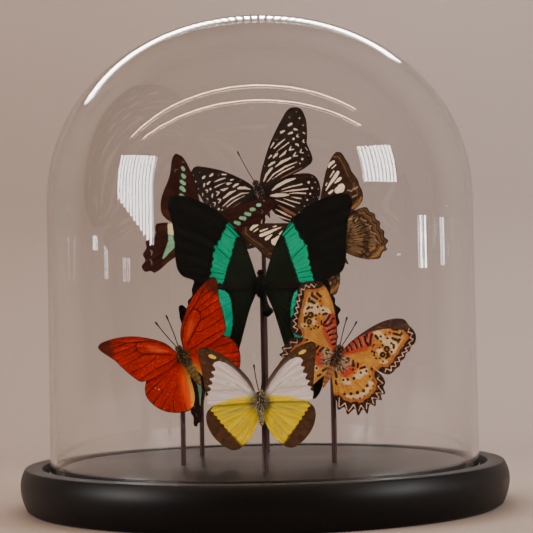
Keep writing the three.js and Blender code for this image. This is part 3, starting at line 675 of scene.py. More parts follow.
# ---- wing paints --------------------------------------------------------------------------
# Each kind's ground, then its layers: field, paint, distance at which it ends, softness, waviness,
# strength.
WING_PAINTS = {
    "gull": ((72, 42, 22), [
        ("pale", (184, 176, 173), 0.0, 0.22, 0.2, 1),
        ("smoke", (104, 90, 84), 0.2, 2.2, 0.6, 0.75),
        ("sun", (188, 166, 58), 0.0, 0.22, 0.25, 1),
        ("gold", (192, 168, 40), 1.0, 2.6, 0.5, 0.85),
        ("bright", (196, 178, 70), 0.0, 0.5, 0.2, 0.7),
        ("ash", (150, 138, 106), 0.25, 1.0, 0.3, 0.6),
        ("cream", (188, 168, 100), -0.15, 0.3, 0.15, 1),
        ("root", (112, 102, 72), 4.4, 3.8, 1.4, 0.85),
        ("rim", (46, 28, 16), 0.12, 0.35, 0.1, 0.6),
    ]),
    "orange": ((216, 76, 25), [
        ("flame", (92, 20, 6), 0.5, 2.0, 0.6, 0.9),
        ("glow", (190, 96, 50), -0.3, 2.8, 0.8, 0.55),
        ("amber", (200, 84, 18), -0.1, 3.6, 0.6, 0.85),
        ("honey", (186, 146, 78), -0.1, 2.0, 0.7, 0.95),
        ("dusk", (56, 18, 8), 0.2, 3.6, 0.8, 0.9),
        ("vein", (58, 14, 6), 0.04, 0.36, 0.12, 0.9),
        ("rim", (40, 14, 7), 0.42, 0.5, 0.3, 0.92),
        # Painted glints: near-white highlight spots.
        ("chalk", (196, 176, 150), 0.0, 0.3, 0.1, 0.8),
        ("root", (84, 50, 22), 2.4, 2.2, 0.8, 0.7),
    ]),
    "lacewing": ((170, 124, 54), [
        ("blush", (160, 50, 24), 0.3, 2.2, 0.9, 0.95),
        ("coral", (162, 92, 26), 0.0, 0.9, 0.9, 0.8),
        ("snow", (180, 162, 140), 0.1, 0.8, 1.7, 0.95),
        ("ink", (20, 12, 10), 0.27, 0.28, 0.35, 0.97),
        ("ring", (22, 13, 10), 0.14, 0.28, 0.3, 0.97),
        ("eye", (150, 104, 66), -0.12, 0.25, 0.1, 0.9),
        ("bone", (150, 134, 116), 0.06, 0.22, 0.15, 0.85),
    ]),
    "swallowtail": ((10, 9, 6), [
        ("moss", (14, 19, 10), 0.5, 1.6, 0.5, 1),
        ("plum", (24, 13, 14), 0.4, 1.2, 0.4, 0.8),
        ("teal", (36, 146, 114), 0.0, 0.35, 0.9, 1),
        ("rib", (6, 28, 18), 0.12, 0.3, 0.08, 0.85),
    ]),
    "tiger": ((30, 19, 15), [
        ("sable", (44, 18, 9), 0.0, 1.2, 0.3, 0.8),
        ("peach", (136, 92, 66), 0.0, 0.3, 0.12, 0.9),
        ("cream", (188, 178, 168), -0.09, 0.22, 0.2, 1),
        ("rim", (22, 13, 10), 0.3, 0.4, 0.1, 0.7),
    ]),
    "clipper": ((46, 28, 19), [
        ("straw", (156, 116, 62), 0.0, 0.6, 0.4, 0.8),
        ("brown", (40, 22, 13), 0.05, 0.35, 0.3, 0.9),
        ("lilac", (152, 132, 112), 0.0, 0.3, 0.3, 0.85),
        ("window", (198, 190, 180), -0.03, 0.22, 0.2, 1),
    ]),
    "bluebottle": ((42, 16, 9), [
        ("rust", (66, 32, 14), 0.4, 1.6, 0.4, 0.8),
        ("mint", (128, 158, 136), -0.12, 0.28, 0.15, 1),
        ("cream", (190, 182, 160), 0.0, 0.8, 0.2, 0.95),
        ("frost", (128, 124, 128), 0.05, 0.25, 0.15, 0.85),
        ("rim", (22, 10, 8), 0.35, 0.4, 0.1, 0.8),
    ]),
}


def wing_finish(kind, strip=False):
    """Scaled wing: fine scales, streaks from the root, and the kind's markings over its ground."""
    finish = Finish(f"{kind}_wing" + ("_strip" if strip else ""), Roughness=0.62,
                    Specular_IOR_Level=0.03)
    place = finish.place()
    flow = finish.field("flow", "Vector")
    rays = finish.streaks(flow, (0.05, 0.55, 1), 4.0, 0.65)
    wander = finish.math("SUBTRACT", finish.noise(place, 900, 2.0), 0.5)
    ground, layers = WING_PAINTS[kind]
    colour = finish.mix(finish.ramp(finish.noise(place, 260, 3.0, 0.6), 0.3, 0.7),
                        scaled(stain(*ground), 0.82), scaled(stain(*ground), 1.16))
    if kind == "clipper":
        colour = clipper_ground(finish, colour, flow)
    for field, tint, end, soft, wave, strength in layers:
        gap = finish.math("MULTIPLY_ADD", wander, wave * 2, finish.field(field))
        colour = finish.cover(colour, tint, gap, end - soft / 2, end + soft / 2, strength, 0.0)
    if kind == "lacewing":
        colour = lacewing_edge(finish, colour, flow, wander, rays, strip)
        mottle = finish.noise(place, 1300, 4.0, 0.75)
        colour = finish.cover(colour, (96, 58, 32), mottle, 0.55, 0.68, 0.0, 0.5)
        colour = finish.cover(colour, (196, 150, 100), mottle, 0.32, 0.42, 0.4, 0.0)
    if kind == "swallowtail":
        blue = finish.math("MULTIPLY", finish.field("hind"),
                           finish.ramp(finish.field("teal"), -0.15, 0.15, 1.0, 0.0))
        blue = finish.math("MULTIPLY", blue, finish.ramp(finish.field("rib"), 0.0, 0.2, 0.1, 1.0))
        colour = finish.mix(blue, colour, stain(30, 152, 126))
        dust = finish.noise(place, 1500, 3.0, 0.8)
        colour = finish.cover(colour, (26, 31, 20), dust, 0.55, 0.75, 0.0, 0.35)
        worn = finish.math("MULTIPLY", finish.ramp(finish.noise(place, 420, 4.0, 0.75), 0.56, 0.72),
                           finish.ramp(finish.field("edge"), 9.0, 16.0, 0.4, 0.0))
        colour = finish.mix(worn, colour, stain(46, 38, 32))
    if kind == "orange":
        # Pale flecks along the scales: partly dust, partly painted glints.
        pale_fleck_and_glint = finish.streaks(flow, (0.35, 1.6, 1), 3.0, 0.7)
        colour = finish.cover(colour, (196, 96, 52), pale_fleck_and_glint, 0.62, 0.74, 0.0, 0.4)
    if kind == "gull":
        worn = finish.streaks(flow, (0.3, 1.1, 1), 4.0, 0.7)
        colour = finish.cover(colour, (150, 140, 128), worn, 0.56, 0.72, 0.0, 0.4)
    shaded = finish.mix(1.0, colour, (0.62, 0.58, 0.55, 1), "MULTIPLY")
    colour = finish.mix(finish.ramp(rays, 0.42, 0.68, 0.0, 0.7), colour, shaded)
    scales = finish.noise(place, 3200, 2.0, 0.7)
    gloss = finish.mix(finish.ramp(scales, 0.25, 0.75), (0.8, 0.8, 0.8, 1), (1.0, 1.0, 1.0, 1))
    finish.colour(finish.mix(1.0, colour, gloss, "MULTIPLY"))
    finish.roughness(finish.ramp(scales, 0.2, 0.8, 0.52, 0.78))
    finish.bump(rays, 0.25, 0.00015)
    finish.bump(scales, 0.35, 0.00006)
    return finish.material


def lacewing_edge(finish, colour, flow, wander, rays, strip):
    """Orange and dark borders with a pale zigzag, tufts at the root, and the dark leading edge."""
    edge = finish.field("edge")
    wavy = finish.math("MULTIPLY_ADD", wander, 0.5, edge)
    colour = finish.cover(colour, (152, 84, 28), wavy, 4.6, 5.6, 0.9, 0.0)
    colour = finish.cover(colour, (34, 18, 15), wavy, 3.4, 3.9, 1.0, 0.0)
    near = finish.math("MULTIPLY", finish.field("hind"),
                       finish.ramp(finish.field("root"), 4.5, 8.5, 0.9, 0.0))
    tufts = finish.cover(stain(18, 12, 10), (168, 148, 126),
                         finish.streaks(flow, (0.5, 0.34, 1), 2.0), 0.46, 0.54)
    colour = finish.mix(near, colour, tufts)
    colour = finish.cover(colour, (190, 172, 156), finish.field("zigzag"), 0.0, 0.2, 0.95, 0.0)
    colour = finish.cover(colour, (34, 20, 17), edge, 0.2, 0.5, 0.9, 0.0)
    gap = finish.math("MULTIPLY_ADD", wander, 0.4, finish.field("edge_dark"))
    colour = finish.cover(colour, (42, 22, 18), gap, 0.0, 0.3, 0.9, 0.0)
    if not strip:
        return colour
    gap = finish.math("MULTIPLY_ADD", wander, 0.4, finish.field("strip"))
    streaky = finish.cover(stain(34, 20, 17), (74, 50, 44), rays, 0.3, 0.7)
    return finish.mix(finish.ramp(gap, -0.1, 0.2, 1.0, 0.0), colour, streaky)


def clipper_ground(finish, colour, flow):
    """Dark brown forewing; tan hindwing under fine dark ripples; bands along the outer edge."""
    hind = finish.field("hind")
    gold = finish.mix(hind, stain(66, 42, 26), stain(104, 72, 42))
    tan, dark = (128, 98, 64), (40, 24, 16)
    waver = finish.noise(flow, 0.35, 2.0)
    lines = finish.streaks(flow, (0.16, 0.95, 1), 2.0, 0.6, 0.6)
    rippled = finish.cover(stain(*tan), dark, lines, 0.44, 0.56)
    zone = finish.math("SINE", finish.math("MULTIPLY_ADD", waver, 5.0, finish.math(
        "MULTIPLY", finish.field("root"), 0.62)))
    rippled = finish.cover(rippled, dark, zone, 0.35, 0.8, 0.0, 0.75)
    rippled = finish.cover(rippled, tan, zone, -0.95, -0.6, 0.45, 0.0)
    colour = finish.mix(hind, colour, rippled)
    edge = finish.math("MULTIPLY_ADD", finish.math("SUBTRACT", waver, 0.5), 1.6,
                       finish.field("edge"))
    colour = finish.cover(colour, dark, edge, 4.6, 5.2, 0.85, 0.0)
    colour = finish.mix(finish.ramp(edge, 3.6, 4.2, 0.8, 0.0), colour, gold)
    colour = finish.cover(colour, tan, edge, 2.75, 3.0, 0.8, 0.0)
    colour = finish.cover(colour, dark, edge, 2.3, 2.6, 0.9, 0.0)
    colour = finish.mix(finish.ramp(edge, 1.5, 1.9, 0.8, 0.0), colour, gold)
    return finish.cover(colour, (34, 20, 14), edge, 0.5, 0.9, 0.9, 0.0)


# ---- wings --------------------------------------------------------------------------------
TIGER_LEFT_EDGE = (40.6, 19.5, 39.6, 15, 39.3, 12, 39.2, 8, 38.8, 4.5, 37.4, 1, 34.5, -0.2)
WING_BENDS = {"gull": 0.5, "orange": 0.4, "lacewing": 0.4, "swallowtail": 0.6}
PLAIN_BEND = 0.15
# Points along and across a wing's net: fewer where a wing is plain or mostly hidden.
WING_NETS = {"swallowtail": (78, 70), "bluebottle": (78, 70), "low_bluebottle": (50, 44)}
FINE_NET = (92, 88)
EDGE_POINTS = 400


def folded(net):
    """Counts the cells of a net that lie the wrong way round."""
    rising, falling = net[1:, 1:] - net[:-1, :-1], net[:-1, 1:] - net[1:, :-1]
    area = rising[..., 0] * falling[..., 1] - rising[..., 1] * falling[..., 0]
    return np.count_nonzero(area * np.sign(area.sum()) < 0)


def unfold(net):
    """Slides the inner points of a net until it lies flat, with its rim left where it is."""
    for _ in range(300):    # rough evening, which may still leave folds at the tails
        net[1:-1, 1:-1] = (net[2:, 1:-1] + net[:-2, 1:-1] + net[1:-1, 2:] + net[1:-1, :-2]) / 4
    for _ in range(400):    # takes the last folds out
        ahead, behind, over, under = net[2:, 1:-1], net[:-2, 1:-1], net[1:-1, 2:], net[1:-1, :-2]
        step, stride = (ahead - behind) / 2, (over - under) / 2
        wide, deep = ((part ** 2).sum(-1, keepdims=True) for part in (stride, step))
        twist = (net[2:, 2:] - net[2:, :-2] - net[:-2, 2:] + net[:-2, :-2]) / 4
        even = (wide * (ahead + behind) + deep * (over + under)
                - 2 * (step * stride).sum(-1, keepdims=True) * twist) / (2 * (wide + deep) + 1e-9)
        net[1:-1, 1:-1] += 0.8 * (even - net[1:-1, 1:-1])
    return net


def wing_mesh(shape, side, rows, columns, bend):
    """A thin rippled shell over the net between a wing's four edges, and the edges' tracks."""
    bm = bmesh.new()
    bmesh.ops.create_grid(bm, x_segments=rows - 1, y_segments=columns - 1, size=0.5)
    spots = np.array([vert.co[:2] for vert in bm.verts]) + 0.5
    lead, outer, trail = (smooth_path(points, EDGE_POINTS) for points in (
        shape["lead"], shape["outer"], shape["trail"][::-1]))
    root = np.linspace(lead[0], trail[0], EDGE_POINTS)
    ticks = np.linspace(0, 1, EDGE_POINTS)

    def along(track, share):
        return np.stack([np.interp(share, ticks, track[:, axis]) for axis in (0, 1)], 1)

    reach, across = spots[:, 0], spots[:, 1]
    r, a = reach[:, None], across[:, None]
    flat = ((1 - a) * along(lead, reach) + a * along(trail, reach)
            + (1 - r) * along(root, across) + r * along(outer, across)
            - (1 - r) * (1 - a) * lead[0] - r * (1 - a) * lead[-1]
            - (1 - r) * a * trail[0] - r * a * trail[-1])
    net = flat.reshape(columns, rows, 2)
    if folded(net):
        flat = unfold(net).reshape(-1, 2)
    span = np.abs(flat[:, 0]).max()
    ripple = RIPPLE_DEPTH * np.cos(across * math.tau * RIPPLES) * reach
    depth = bend * (flat[:, 0] / span) ** 2 - ripple
    for vert, (x, z), y in zip(bm.verts, flat, depth):
        vert.co = (x, y, z)
    bmesh.ops.recalc_face_normals(bm, faces=bm.faces)
    if side < 0:
        bmesh.ops.scale(bm, vec=(-1, 1, 1), verts=bm.verts)
        bmesh.ops.reverse_faces(bm, faces=bm.faces)
    grown = bmesh.ops.extrude_face_region(bm, geom=list(bm.faces))["geom"]
    finish_walls(bm, grown, (0, WING_THICKNESS, 0))
    return bm, (lead, outer, trail)


def set_field(mesh, name, values):
    """Stores a number, or a place, for each point of a mesh."""
    values = np.asarray(values, np.float32)
    kind, part = ("FLOAT", "value") if values.ndim == 1 else ("FLOAT_VECTOR", "vector")
    mesh.attributes.new(name, kind, "POINT").data.foreach_set(part, values.ravel())


def mark_wing(mesh, shape, tracks, spots, layer, side):
    """Stores, for each point of a wing, how far it is from each marking, vein and edge."""
    lead, outer, trail = tracks
    edge = line_distance(spots, outer[::4])
    set_field(mesh, "edge", edge)
    set_field(mesh, "rim", np.minimum(edge, np.minimum(
        line_distance(spots, lead[::8]), line_distance(spots, trail[::8]) + 1.5)))
    middle = (lead[0] + trail[0]) / 2
    from_root = np.linalg.norm(spots - middle, axis=1)
    set_field(mesh, "root", from_root)
    set_field(mesh, "hind", np.full(len(spots), float(layer == "hindwing")))
    angle = np.arctan2(spots[:, 1] - middle[1], spots[:, 0] - middle[0] + 2)
    set_field(mesh, "flow", np.stack([from_root, angle * 30, np.zeros(len(spots))], 1))
    if shape["zigzag"]:
        knots = np.array(shape["zigzag"])
        inward = spots.mean(axis=0) - knots
        inward /= np.linalg.norm(inward, axis=1)[:, None]
        depth = np.where(np.arange(len(knots)) % 2, 2.8, 0.8)[:, None]
        ends = np.column_stack([knots + inward * depth, np.full(len(knots), 0.1)])
        set_field(mesh, "zigzag", stroke_distance(spots, [ends.ravel()]))
    for field in FIELDS:
        gap = np.full(len(spots), FAR)
        # The painted glint spots are drawn on the left wing only.
        if field != "chalk" or side < 0:
            gap = np.minimum(stroke_distance(spots, shape["strokes"].get(field, [])),
                             patch_distance(spots, shape["patches"].get(field, [])))
        set_field(mesh, field, gap)


def add_wing(butterfly, kind, layer, side_name, side, material):
    name = f"{butterfly['name']}_{layer}_{side_name}"
    shape = WINGS[kind, layer]
    if (kind, layer, side) == ("tiger", "forewing", -1):
        shape = {**shape, "outer": shape["outer"][:5] + pairs(TIGER_LEFT_EDGE)}
    front = "hindwing" if kind == "lacewing" else "forewing"
    layer_y = -WING_LAYER if layer == front else WING_LAYER
    rows, columns = WING_NETS.get(butterfly["name"], FINE_NET)
    bm, tracks = wing_mesh(shape, side, rows, columns, WING_BENDS.get(kind, PLAIN_BEND))
    spots = np.array([(side * vert.co.x, vert.co.z) for vert in bm.verts])
    place = (body_place(butterfly) @ Matrix.Translation((0, layer_y, 0))
             @ Matrix.Rotation(math.radians(-side * butterfly["raise"]), 4, "Z"))
    made = settle(bm, name + "_scaled", material, [name], place, 60)
    mark_wing(made.data, shape, tracks, spots, layer, side)


def kind_of(butterfly):
    return butterfly["name"].replace("low_", "")


def body_place(butterfly):
    return (Matrix.Translation(butterfly["at"])
            @ Matrix.Rotation(math.radians(butterfly["yaw"]), 4, "Z")
            @ Matrix.Rotation(math.radians(butterfly["spin"]), 4, "Y"))


# ---- bodies -------------------------------------------------------------------------------
# Paints of the thorax, the abdomen, its tip, the dark hairs and the pale ones; then the lean of
# the abdomen in degrees and the length of the hairs.
BODY_LOOKS = {
    "gull": ((96, 84, 68), (128, 112, 76), (140, 124, 84), (44, 36, 26), (186, 176, 158), 0, 1.7),
    "orange": ((40, 30, 18), (112, 82, 34), (124, 92, 40), (30, 22, 13), (150, 118, 58), 0, 1.6),
    "lacewing": ((64, 38, 24), (158, 104, 56), (172, 120, 66), (26, 16, 11), (164, 134, 104), 0,
                 1.7),
    "swallowtail": ((9, 10, 6), (8, 9, 5), (8, 8, 5), (5, 5, 3), (18, 22, 12), -12, 1.2),
    "tiger": ((24, 18, 16), (44, 29, 22), (54, 36, 25), (14, 10, 9), (150, 136, 126), 0, 1.2),
    "clipper": ((46, 31, 21), (60, 40, 26), (70, 48, 30), (30, 19, 13), (96, 70, 46), 0, 1.2),
    "bluebottle": ((30, 22, 18), (60, 44, 34), (60, 44, 34), (20, 14, 11), (90, 74, 62), 0, 1.2),
}


def body_finish(kind):
    """Dark and pale hairs over a banded abdomen; eyes and antennae are dark and smooth."""
    thorax, abdomen, tip, shadow, gleam = BODY_LOOKS[kind][:5]
    finish = Finish(f"{kind}_body_hair", Roughness=0.85, Specular_IOR_Level=0.05,
                    Sheen_Weight=0.01, Sheen_Roughness=0.6)
    tail, shade, dark = (finish.field(name) for name in ("tail", "shade", "dark"))
    band = finish.math("PINGPONG", finish.math("MULTIPLY", tail, ABDOMEN_RINGS / 3), 0.5)
    blotch = finish.noise(finish.place(), 1400, 2.0, 0.6)
    colour = finish.cover(stain(*thorax), abdomen, tail, 0.18, 0.42)
    colour = finish.cover(colour, tip, tail, 0.6, 0.95)
    colour = finish.cover(colour, shadow, band, 0.08, 0.22, 0.6, 0.0)
    colour = finish.cover(colour, shadow, blotch, 0.25, 0.45, 0.55, 0.0)
    colour = finish.cover(colour, gleam, shade, 0.55, 0.95)
    colour = finish.cover(colour, shadow, shade, 0.05, 0.4, 0.9, 0.0)
    finish.colour(finish.mix(finish.ramp(dark, 0.3, 0.7), colour, paint(16, 11, 9)))
    finish.roughness(finish.ramp(dark, 0.3, 0.7, 0.85, 0.35))
    finish.bump(blotch, 0.4, 0.0002)
    return finish.material


def grow_hairs(bm, hairs, rng):
    """Adds a pointed hair for each [place, length], in batches; returns a shade for each corner."""
    shades = []
    batch = bmesh.new()
    for index, (place, length) in enumerate(hairs):
        made = bmesh.ops.create_cone(batch, cap_ends=True, segments=3, radius1=0.14, radius2=0.02,
                                     depth=length, matrix=place)["verts"]
        shades += [rng.random()] * len(made)
        if (index + 1) % HAIRS_PER_BATCH == 0 or index == len(hairs) - 1:
            mesh = bpy.data.meshes.new("hairs")
            batch.to_mesh(mesh)
            bm.from_mesh(mesh)
            bpy.data.meshes.remove(mesh)
            batch.clear()
    batch.free()
    return shades


def abdomen_shape(kind, lean):
    """The abdomen's rings, from the thorax to the tip: their middles and radii."""
    end, radius = KINDS[kind]["abdomen"]
    spine, girth = [], []
    for step in range(ABDOMEN_RINGS + 1):
        share = step / ABDOMEN_RINGS
        z = end * share
        body = math.sin(math.pi * min(share * 0.86 + 0.14, 1)) ** 0.5 if share < 1 else 0.12
        taper = 1 - 0.35 * share
        groove = 1 - 0.07 * (step % 3 == 0)
        spine.append((math.sin(lean) * z, 0, math.cos(lean) * z))
        girth.append(max(radius * body * taper * 1.25 * groove, 0.12))
    if kind == "swallowtail":
        girth = [radius * (0.95 - 0.3 * math.sin(math.pi * min(step / ABDOMEN_RINGS * 1.25, 1)))
                 for step in range(ABDOMEN_RINGS - 1)] + [radius * 0.75, 0.3]
        girth[-7:-2] = [radius * swell for swell in (1.05, 1.35, 1.5, 1.45, 1.2)]
    return spine, girth


def add_antenna(bm, side, root_z, tip):
    """A slightly bowed antenna that ends in a club."""
    tip_x, tip_z = tip
    points, radii = [], []
    for step in range(ANTENNA_STEPS + 1):
        share = step / ANTENNA_STEPS
        bow = 0.5 * math.sin(math.pi * share)
        points.append((side * (0.4 + (tip_x - 0.4) * share + bow * 0.5), -0.2 * bow,
                       root_z + (tip_z - root_z) * share))
        swell = 1.1 * max(0, min(1, (share - 0.84) / 0.08)) * (1 if share < 0.99 else 0.4)
        radii.append(0.25 * (1 + swell))
    tube(bm, points, radii, 8)


def plan_hairs(rng, thorax, head_z, head_radius, spine, girth, hair):
    """Places of the hairs, most on the thorax, then on the head and the abdomen."""
    thorax_radius, thorax_half = thorax
    hairs = []
    for _ in range(HAIRS):
        zone = rng.random()
        around = rng.uniform(0, math.tau)
        if zone < 0.8:
            rise = rng.uniform(-0.98 if zone < 0.62 else -0.2, 0.98)
            flat = math.sqrt(1 - rise * rise)
            normal = Vector((flat * math.cos(around), flat * math.sin(around), rise))
        if zone < 0.62:
            spot = Vector((normal.x * thorax_radius, normal.y * thorax_radius * THORAX_FLATNESS,
                           normal.z * thorax_half))
            length = hair * rng.uniform(0.6, 1.25)
        elif zone < 0.8:
            spot = Vector((0, 0, head_z)) + normal * head_radius
            length = hair * rng.uniform(0.4, 0.8)
        else:
            ring = int(rng.uniform(0.1, 0.9) * ABDOMEN_RINGS)
            normal = Vector((math.cos(around), math.sin(around), 0))
            spot = Vector(spine[ring]) + normal * girth[ring] * 0.95
            length = hair * rng.uniform(0.35, 0.7)
        aim = (normal * 0.8 + Vector((rng.uniform(-0.4, 0.4), rng.uniform(-0.4, 0.4),
                                      rng.uniform(-1.2, -0.2)))).normalized()
        turn = aim.to_track_quat("Z", "Y").to_matrix().to_4x4()
        hairs.append((Matrix.Translation(spot + aim * length * 0.35) @ turn, length))
    return hairs


def add_body(butterfly, kind):
    look = KINDS[kind]
    thorax_radius, thorax_half = look["thorax"]
    head_radius = look["head"]
    lean, hair = BODY_LOOKS[kind][5:]
    rng = random.Random(butterfly["name"])
    bm = bmesh.new()
    ball = bmesh.ops.create_uvsphere(bm, u_segments=24, v_segments=16, radius=1.0)["verts"]
    bmesh.ops.scale(bm, vec=(thorax_radius, thorax_radius * THORAX_FLATNESS, thorax_half),
                    verts=ball)
    spine, girth = abdomen_shape(kind, math.radians(lean))
    tube(bm, spine, girth, 20, 0.95)
    head_z = thorax_half + head_radius * 0.35
    bmesh.ops.create_uvsphere(bm, u_segments=18, v_segments=12, radius=head_radius,
                              matrix=Matrix.Translation((0, 0, head_z)))
    dark_from = len(bm.verts)
    for side in (-1, 1):
        eye = (side * head_radius * 0.72, -head_radius * 0.35, head_z + head_radius * 0.1)
        bmesh.ops.create_uvsphere(bm, u_segments=12, v_segments=8, radius=head_radius * 0.52,
                                  matrix=Matrix.Translation(eye))
        if look["antenna"] and not (kind == "tiger" and side > 0):
            add_antenna(bm, side, head_z + head_radius * 0.6, look["antenna"])
    dark_to = len(bm.verts)
    hairs = plan_hairs(rng, look["thorax"], head_z, head_radius, spine, girth, hair)
    shade = [0.5] * dark_to + grow_hairs(bm, hairs, rng)
    bmesh.ops.recalc_face_normals(bm, faces=bm.faces)
    tail = [min(max(vert.co.z / look["abdomen"][0], 0), 1) for vert in bm.verts]
    dark = [float(dark_from <= index < dark_to) for index in range(len(bm.verts))]
    name = f"{butterfly['name']}_body"
    made = settle(bm, name + "_haired", BODY_FINISHES[kind], [name],
                  body_place(butterfly), 50)
    for field, values in (("tail", tail), ("dark", dark), ("shade", shade)):
        set_field(made.data, field, values)


# ---- base, rods and dome ------------------------------------------------------------------
def black_wood():
    """Black-stained turned wood under a satin lacquer."""
    finish = Finish("black_lacquered_wood", Specular_IOR_Level=0.14)
    place = finish.place()
    grain = finish.streaks(place, (900, 40, 900), 4.0, 0.6, 0.4)
    cloud = finish.noise(place, 18, 3.0)
    colour = finish.mix(finish.ramp(grain, 0.3, 0.7), paint(5, 4, 4), paint(10, 8, 8))
    colour = finish.mix(finish.ramp(cloud, 0.35, 0.7, 0.0, 0.35), colour, paint(12, 9, 9))
    finish.colour(colour)
    dust = finish.noise(place, 3000, 1.0)
    inner = finish.node("VectorMath", operation="LENGTH")
    finish.feed(inner.inputs[0], finish.stretch(place, (1, 1, 0)))
    plate = finish.ramp(inner.outputs["Value"], 0.1, 0.105, 0.22, 0.32)
    smear = finish.math("MULTIPLY_ADD", cloud, 0.12, plate)
    finish.roughness(finish.math("MULTIPLY_ADD", dust, 0.06, smear))
    finish.bump(grain, 0.12, 0.00012)
    return finish.material


def rod_wood():
    """Thin dowel stained a dark reddish brown."""
    finish = Finish("rod_stained_wood", Specular_IOR_Level=0.2)
    grain = finish.streaks(finish.place(), (2600, 2600, 90), 4.0, 0.6)
    finish.colour(finish.cover(stain(34, 13, 10), (60, 26, 20), grain, 0.25, 0.75))
    finish.roughness(finish.ramp(grain, 0.2, 0.8, 0.38, 0.55))
    finish.bump(grain, 0.3, 0.0001)
    return finish.material


def clear_glass():
    return Finish("clear_blown_glass", Base_Color=(0.925, 0.92, 0.917, 1), Roughness=0.0,
                  IOR=1.52, Transmission_Weight=1.0).material


def add_base():
    """A turned disc with a rounded edge and a ring groove for the glass."""
    groove_in, groove_out, groove_depth = GROOVE
    widest, widest_z = BASE_WIDEST
    profile = [(0, 0), (BASE_FOOT - 1.5, 0)]
    for step in range(1, 9):
        share = step / 9
        profile.append((widest - (widest - BASE_FOOT) * (1 - share) ** 2, widest_z * share))
    for step in range(9):
        share = step / 8
        profile.append((widest - (widest - BASE_RIM) * share ** 2,
                        widest_z + (BASE_HEIGHT - widest_z) * share))
    groove_z = BASE_HEIGHT - groove_depth
    profile += [(groove_out, BASE_HEIGHT), (groove_out, groove_z), (groove_in, groove_z),
                (groove_in, BASE_HEIGHT), (0, BASE_HEIGHT)]
    bm = spun(profile)
    soften_rings(bm, 35, 0.5, 3)
    settle(bm, "turned_base", black_wood(), ["base"])


def dome_arc(radius, top, steps=40):
    arc = []
    for step in range(steps + 1):
        angle = step / steps * math.pi / 2
        across = radius * math.cos(angle) ** (2 / DOME_ROUNDNESS) if step < steps else 0
        up = DOME_SHOULDER + (top - DOME_SHOULDER) * math.sin(angle) ** (2 / DOME_ROUNDNESS)
        arc.append((across, up))
    return arc


def add_dome():
    """A blown bell: one wall, inside and outside, that meets in a swollen bead at its foot."""
    inner = DOME_RADIUS - DOME_WALL
    outer_bead, inner_bead = [], []
    for step in range(9):
        angle = math.pi * step / 8
        swell = BEAD_SWELL * math.sin(angle)
        height = DOME_FOOT + 2 - 2 * math.cos(angle)
        outer_bead.append((DOME_RADIUS + swell, height))
        inner_bead.append((inner - swell, height))
    heights = np.linspace(DOME_FOOT + 8, DOME_SHOULDER - 4, 8)
    inside = inner_bead + [(inner, z) for z in heights] + dome_arc(inner, DOME_TOP - DOME_WALL)
    outside = (outer_bead + [(DOME_RADIUS, z) for z in heights]
               + dome_arc(DOME_RADIUS, DOME_TOP))
    dome = settle(spun(inside[::-1] + outside), "blown_dome", clear_glass(),
                  ["glass_dome"], None, 60)
    dome.visible_shadow = False


def rod_centre(butterfly):
    """Where a rod stands: close behind the thorax, and to the side by what the butterfly says."""
    turn = math.radians(butterfly["yaw"])
    standoff = KINDS[kind_of(butterfly)]["thorax"][0] + 0.3 + ROD_RADIUS
    x, y, _ = butterfly["at"]
    return (x + butterfly["rod"] * math.cos(turn) - standoff * math.sin(turn),
            y + butterfly["rod"] * math.sin(turn) + standoff * math.cos(turn))


def add_rod(butterfly, material):
    x, y = rod_centre(butterfly)
    top = butterfly["at"][2] + KINDS[kind_of(butterfly)]["thorax"][1] * 0.6
    heights = [ROD_FOOT, ROD_FOOT + 0.3, *np.linspace(ROD_FOOT + 2, top - 1, 18), top - 0.3, top]
    radii = [ROD_RADIUS - 0.2] + [ROD_RADIUS] * 19 + [ROD_RADIUS - 0.05, ROD_RADIUS - 0.4]
    bm = bmesh.new()
    tube(bm, [(x, y, z) for z in heights], radii, 24)
    bmesh.ops.recalc_face_normals(bm, faces=bm.faces)
    name = f"rod_{butterfly['name']}"
    settle(bm, name + "_dowel", material, [name])


# ---- build --------------------------------------------------------------------------------
BODY_FINISHES = {kind: body_finish(kind) for kind in KINDS}
WING_FINISHES = {kind: wing_finish(kind) for kind in KINDS}
STRIPED_FINISH = wing_finish("lacewing", strip=True)
add_base()
add_dome()
rod_material = rod_wood()
for butterfly in BUTTERFLIES:
    kind = kind_of(butterfly)
    if butterfly["rod"] is not None:
        add_rod(butterfly, rod_material)
    add_body(butterfly, kind)
    for layer in ("forewing", "hindwing"):
        for side_name, side in (("left", -1), ("right", 1)):
            material = WING_FINISHES[kind]
            if (kind, layer, side) == ("lacewing", "forewing", 1):
                material = STRIPED_FINISH
            add_wing(butterfly, kind, layer, side_name, side, material)


# ---- studio -------------------------------------------------------------------------------
PANEL_WHITE = (1, 0.97, 0.95)
STRIP_AMBER = (1, 0.72, 0.43)
# Backdrop paint: darker and warmer to the left, lighter to the right, as painted light.
PAPER_SHADED_LEFT = (0.286, 0.224, 0.198, 1)
PAPER_LIT_RIGHT = (0.345, 0.292, 0.278, 1)
# Near-black paint for the front of the floor where the glass mirrors it: a painted reflection.
PAPER_MIRRORED = (0.01, 0.01, 0.01, 1)
ROOM = (0.15, 0.138, 0.13, 1)
ROOM_MIRRORED = (0.012, 0.011, 0.011, 1)
CAMERA_PLACE = (0.0028, -0.790, 0.0905)
CAMERA_PITCH = math.radians(2.33)
CAMERA_ROLL = math.radians(1.12)
CAMERA_LENS = 102.66


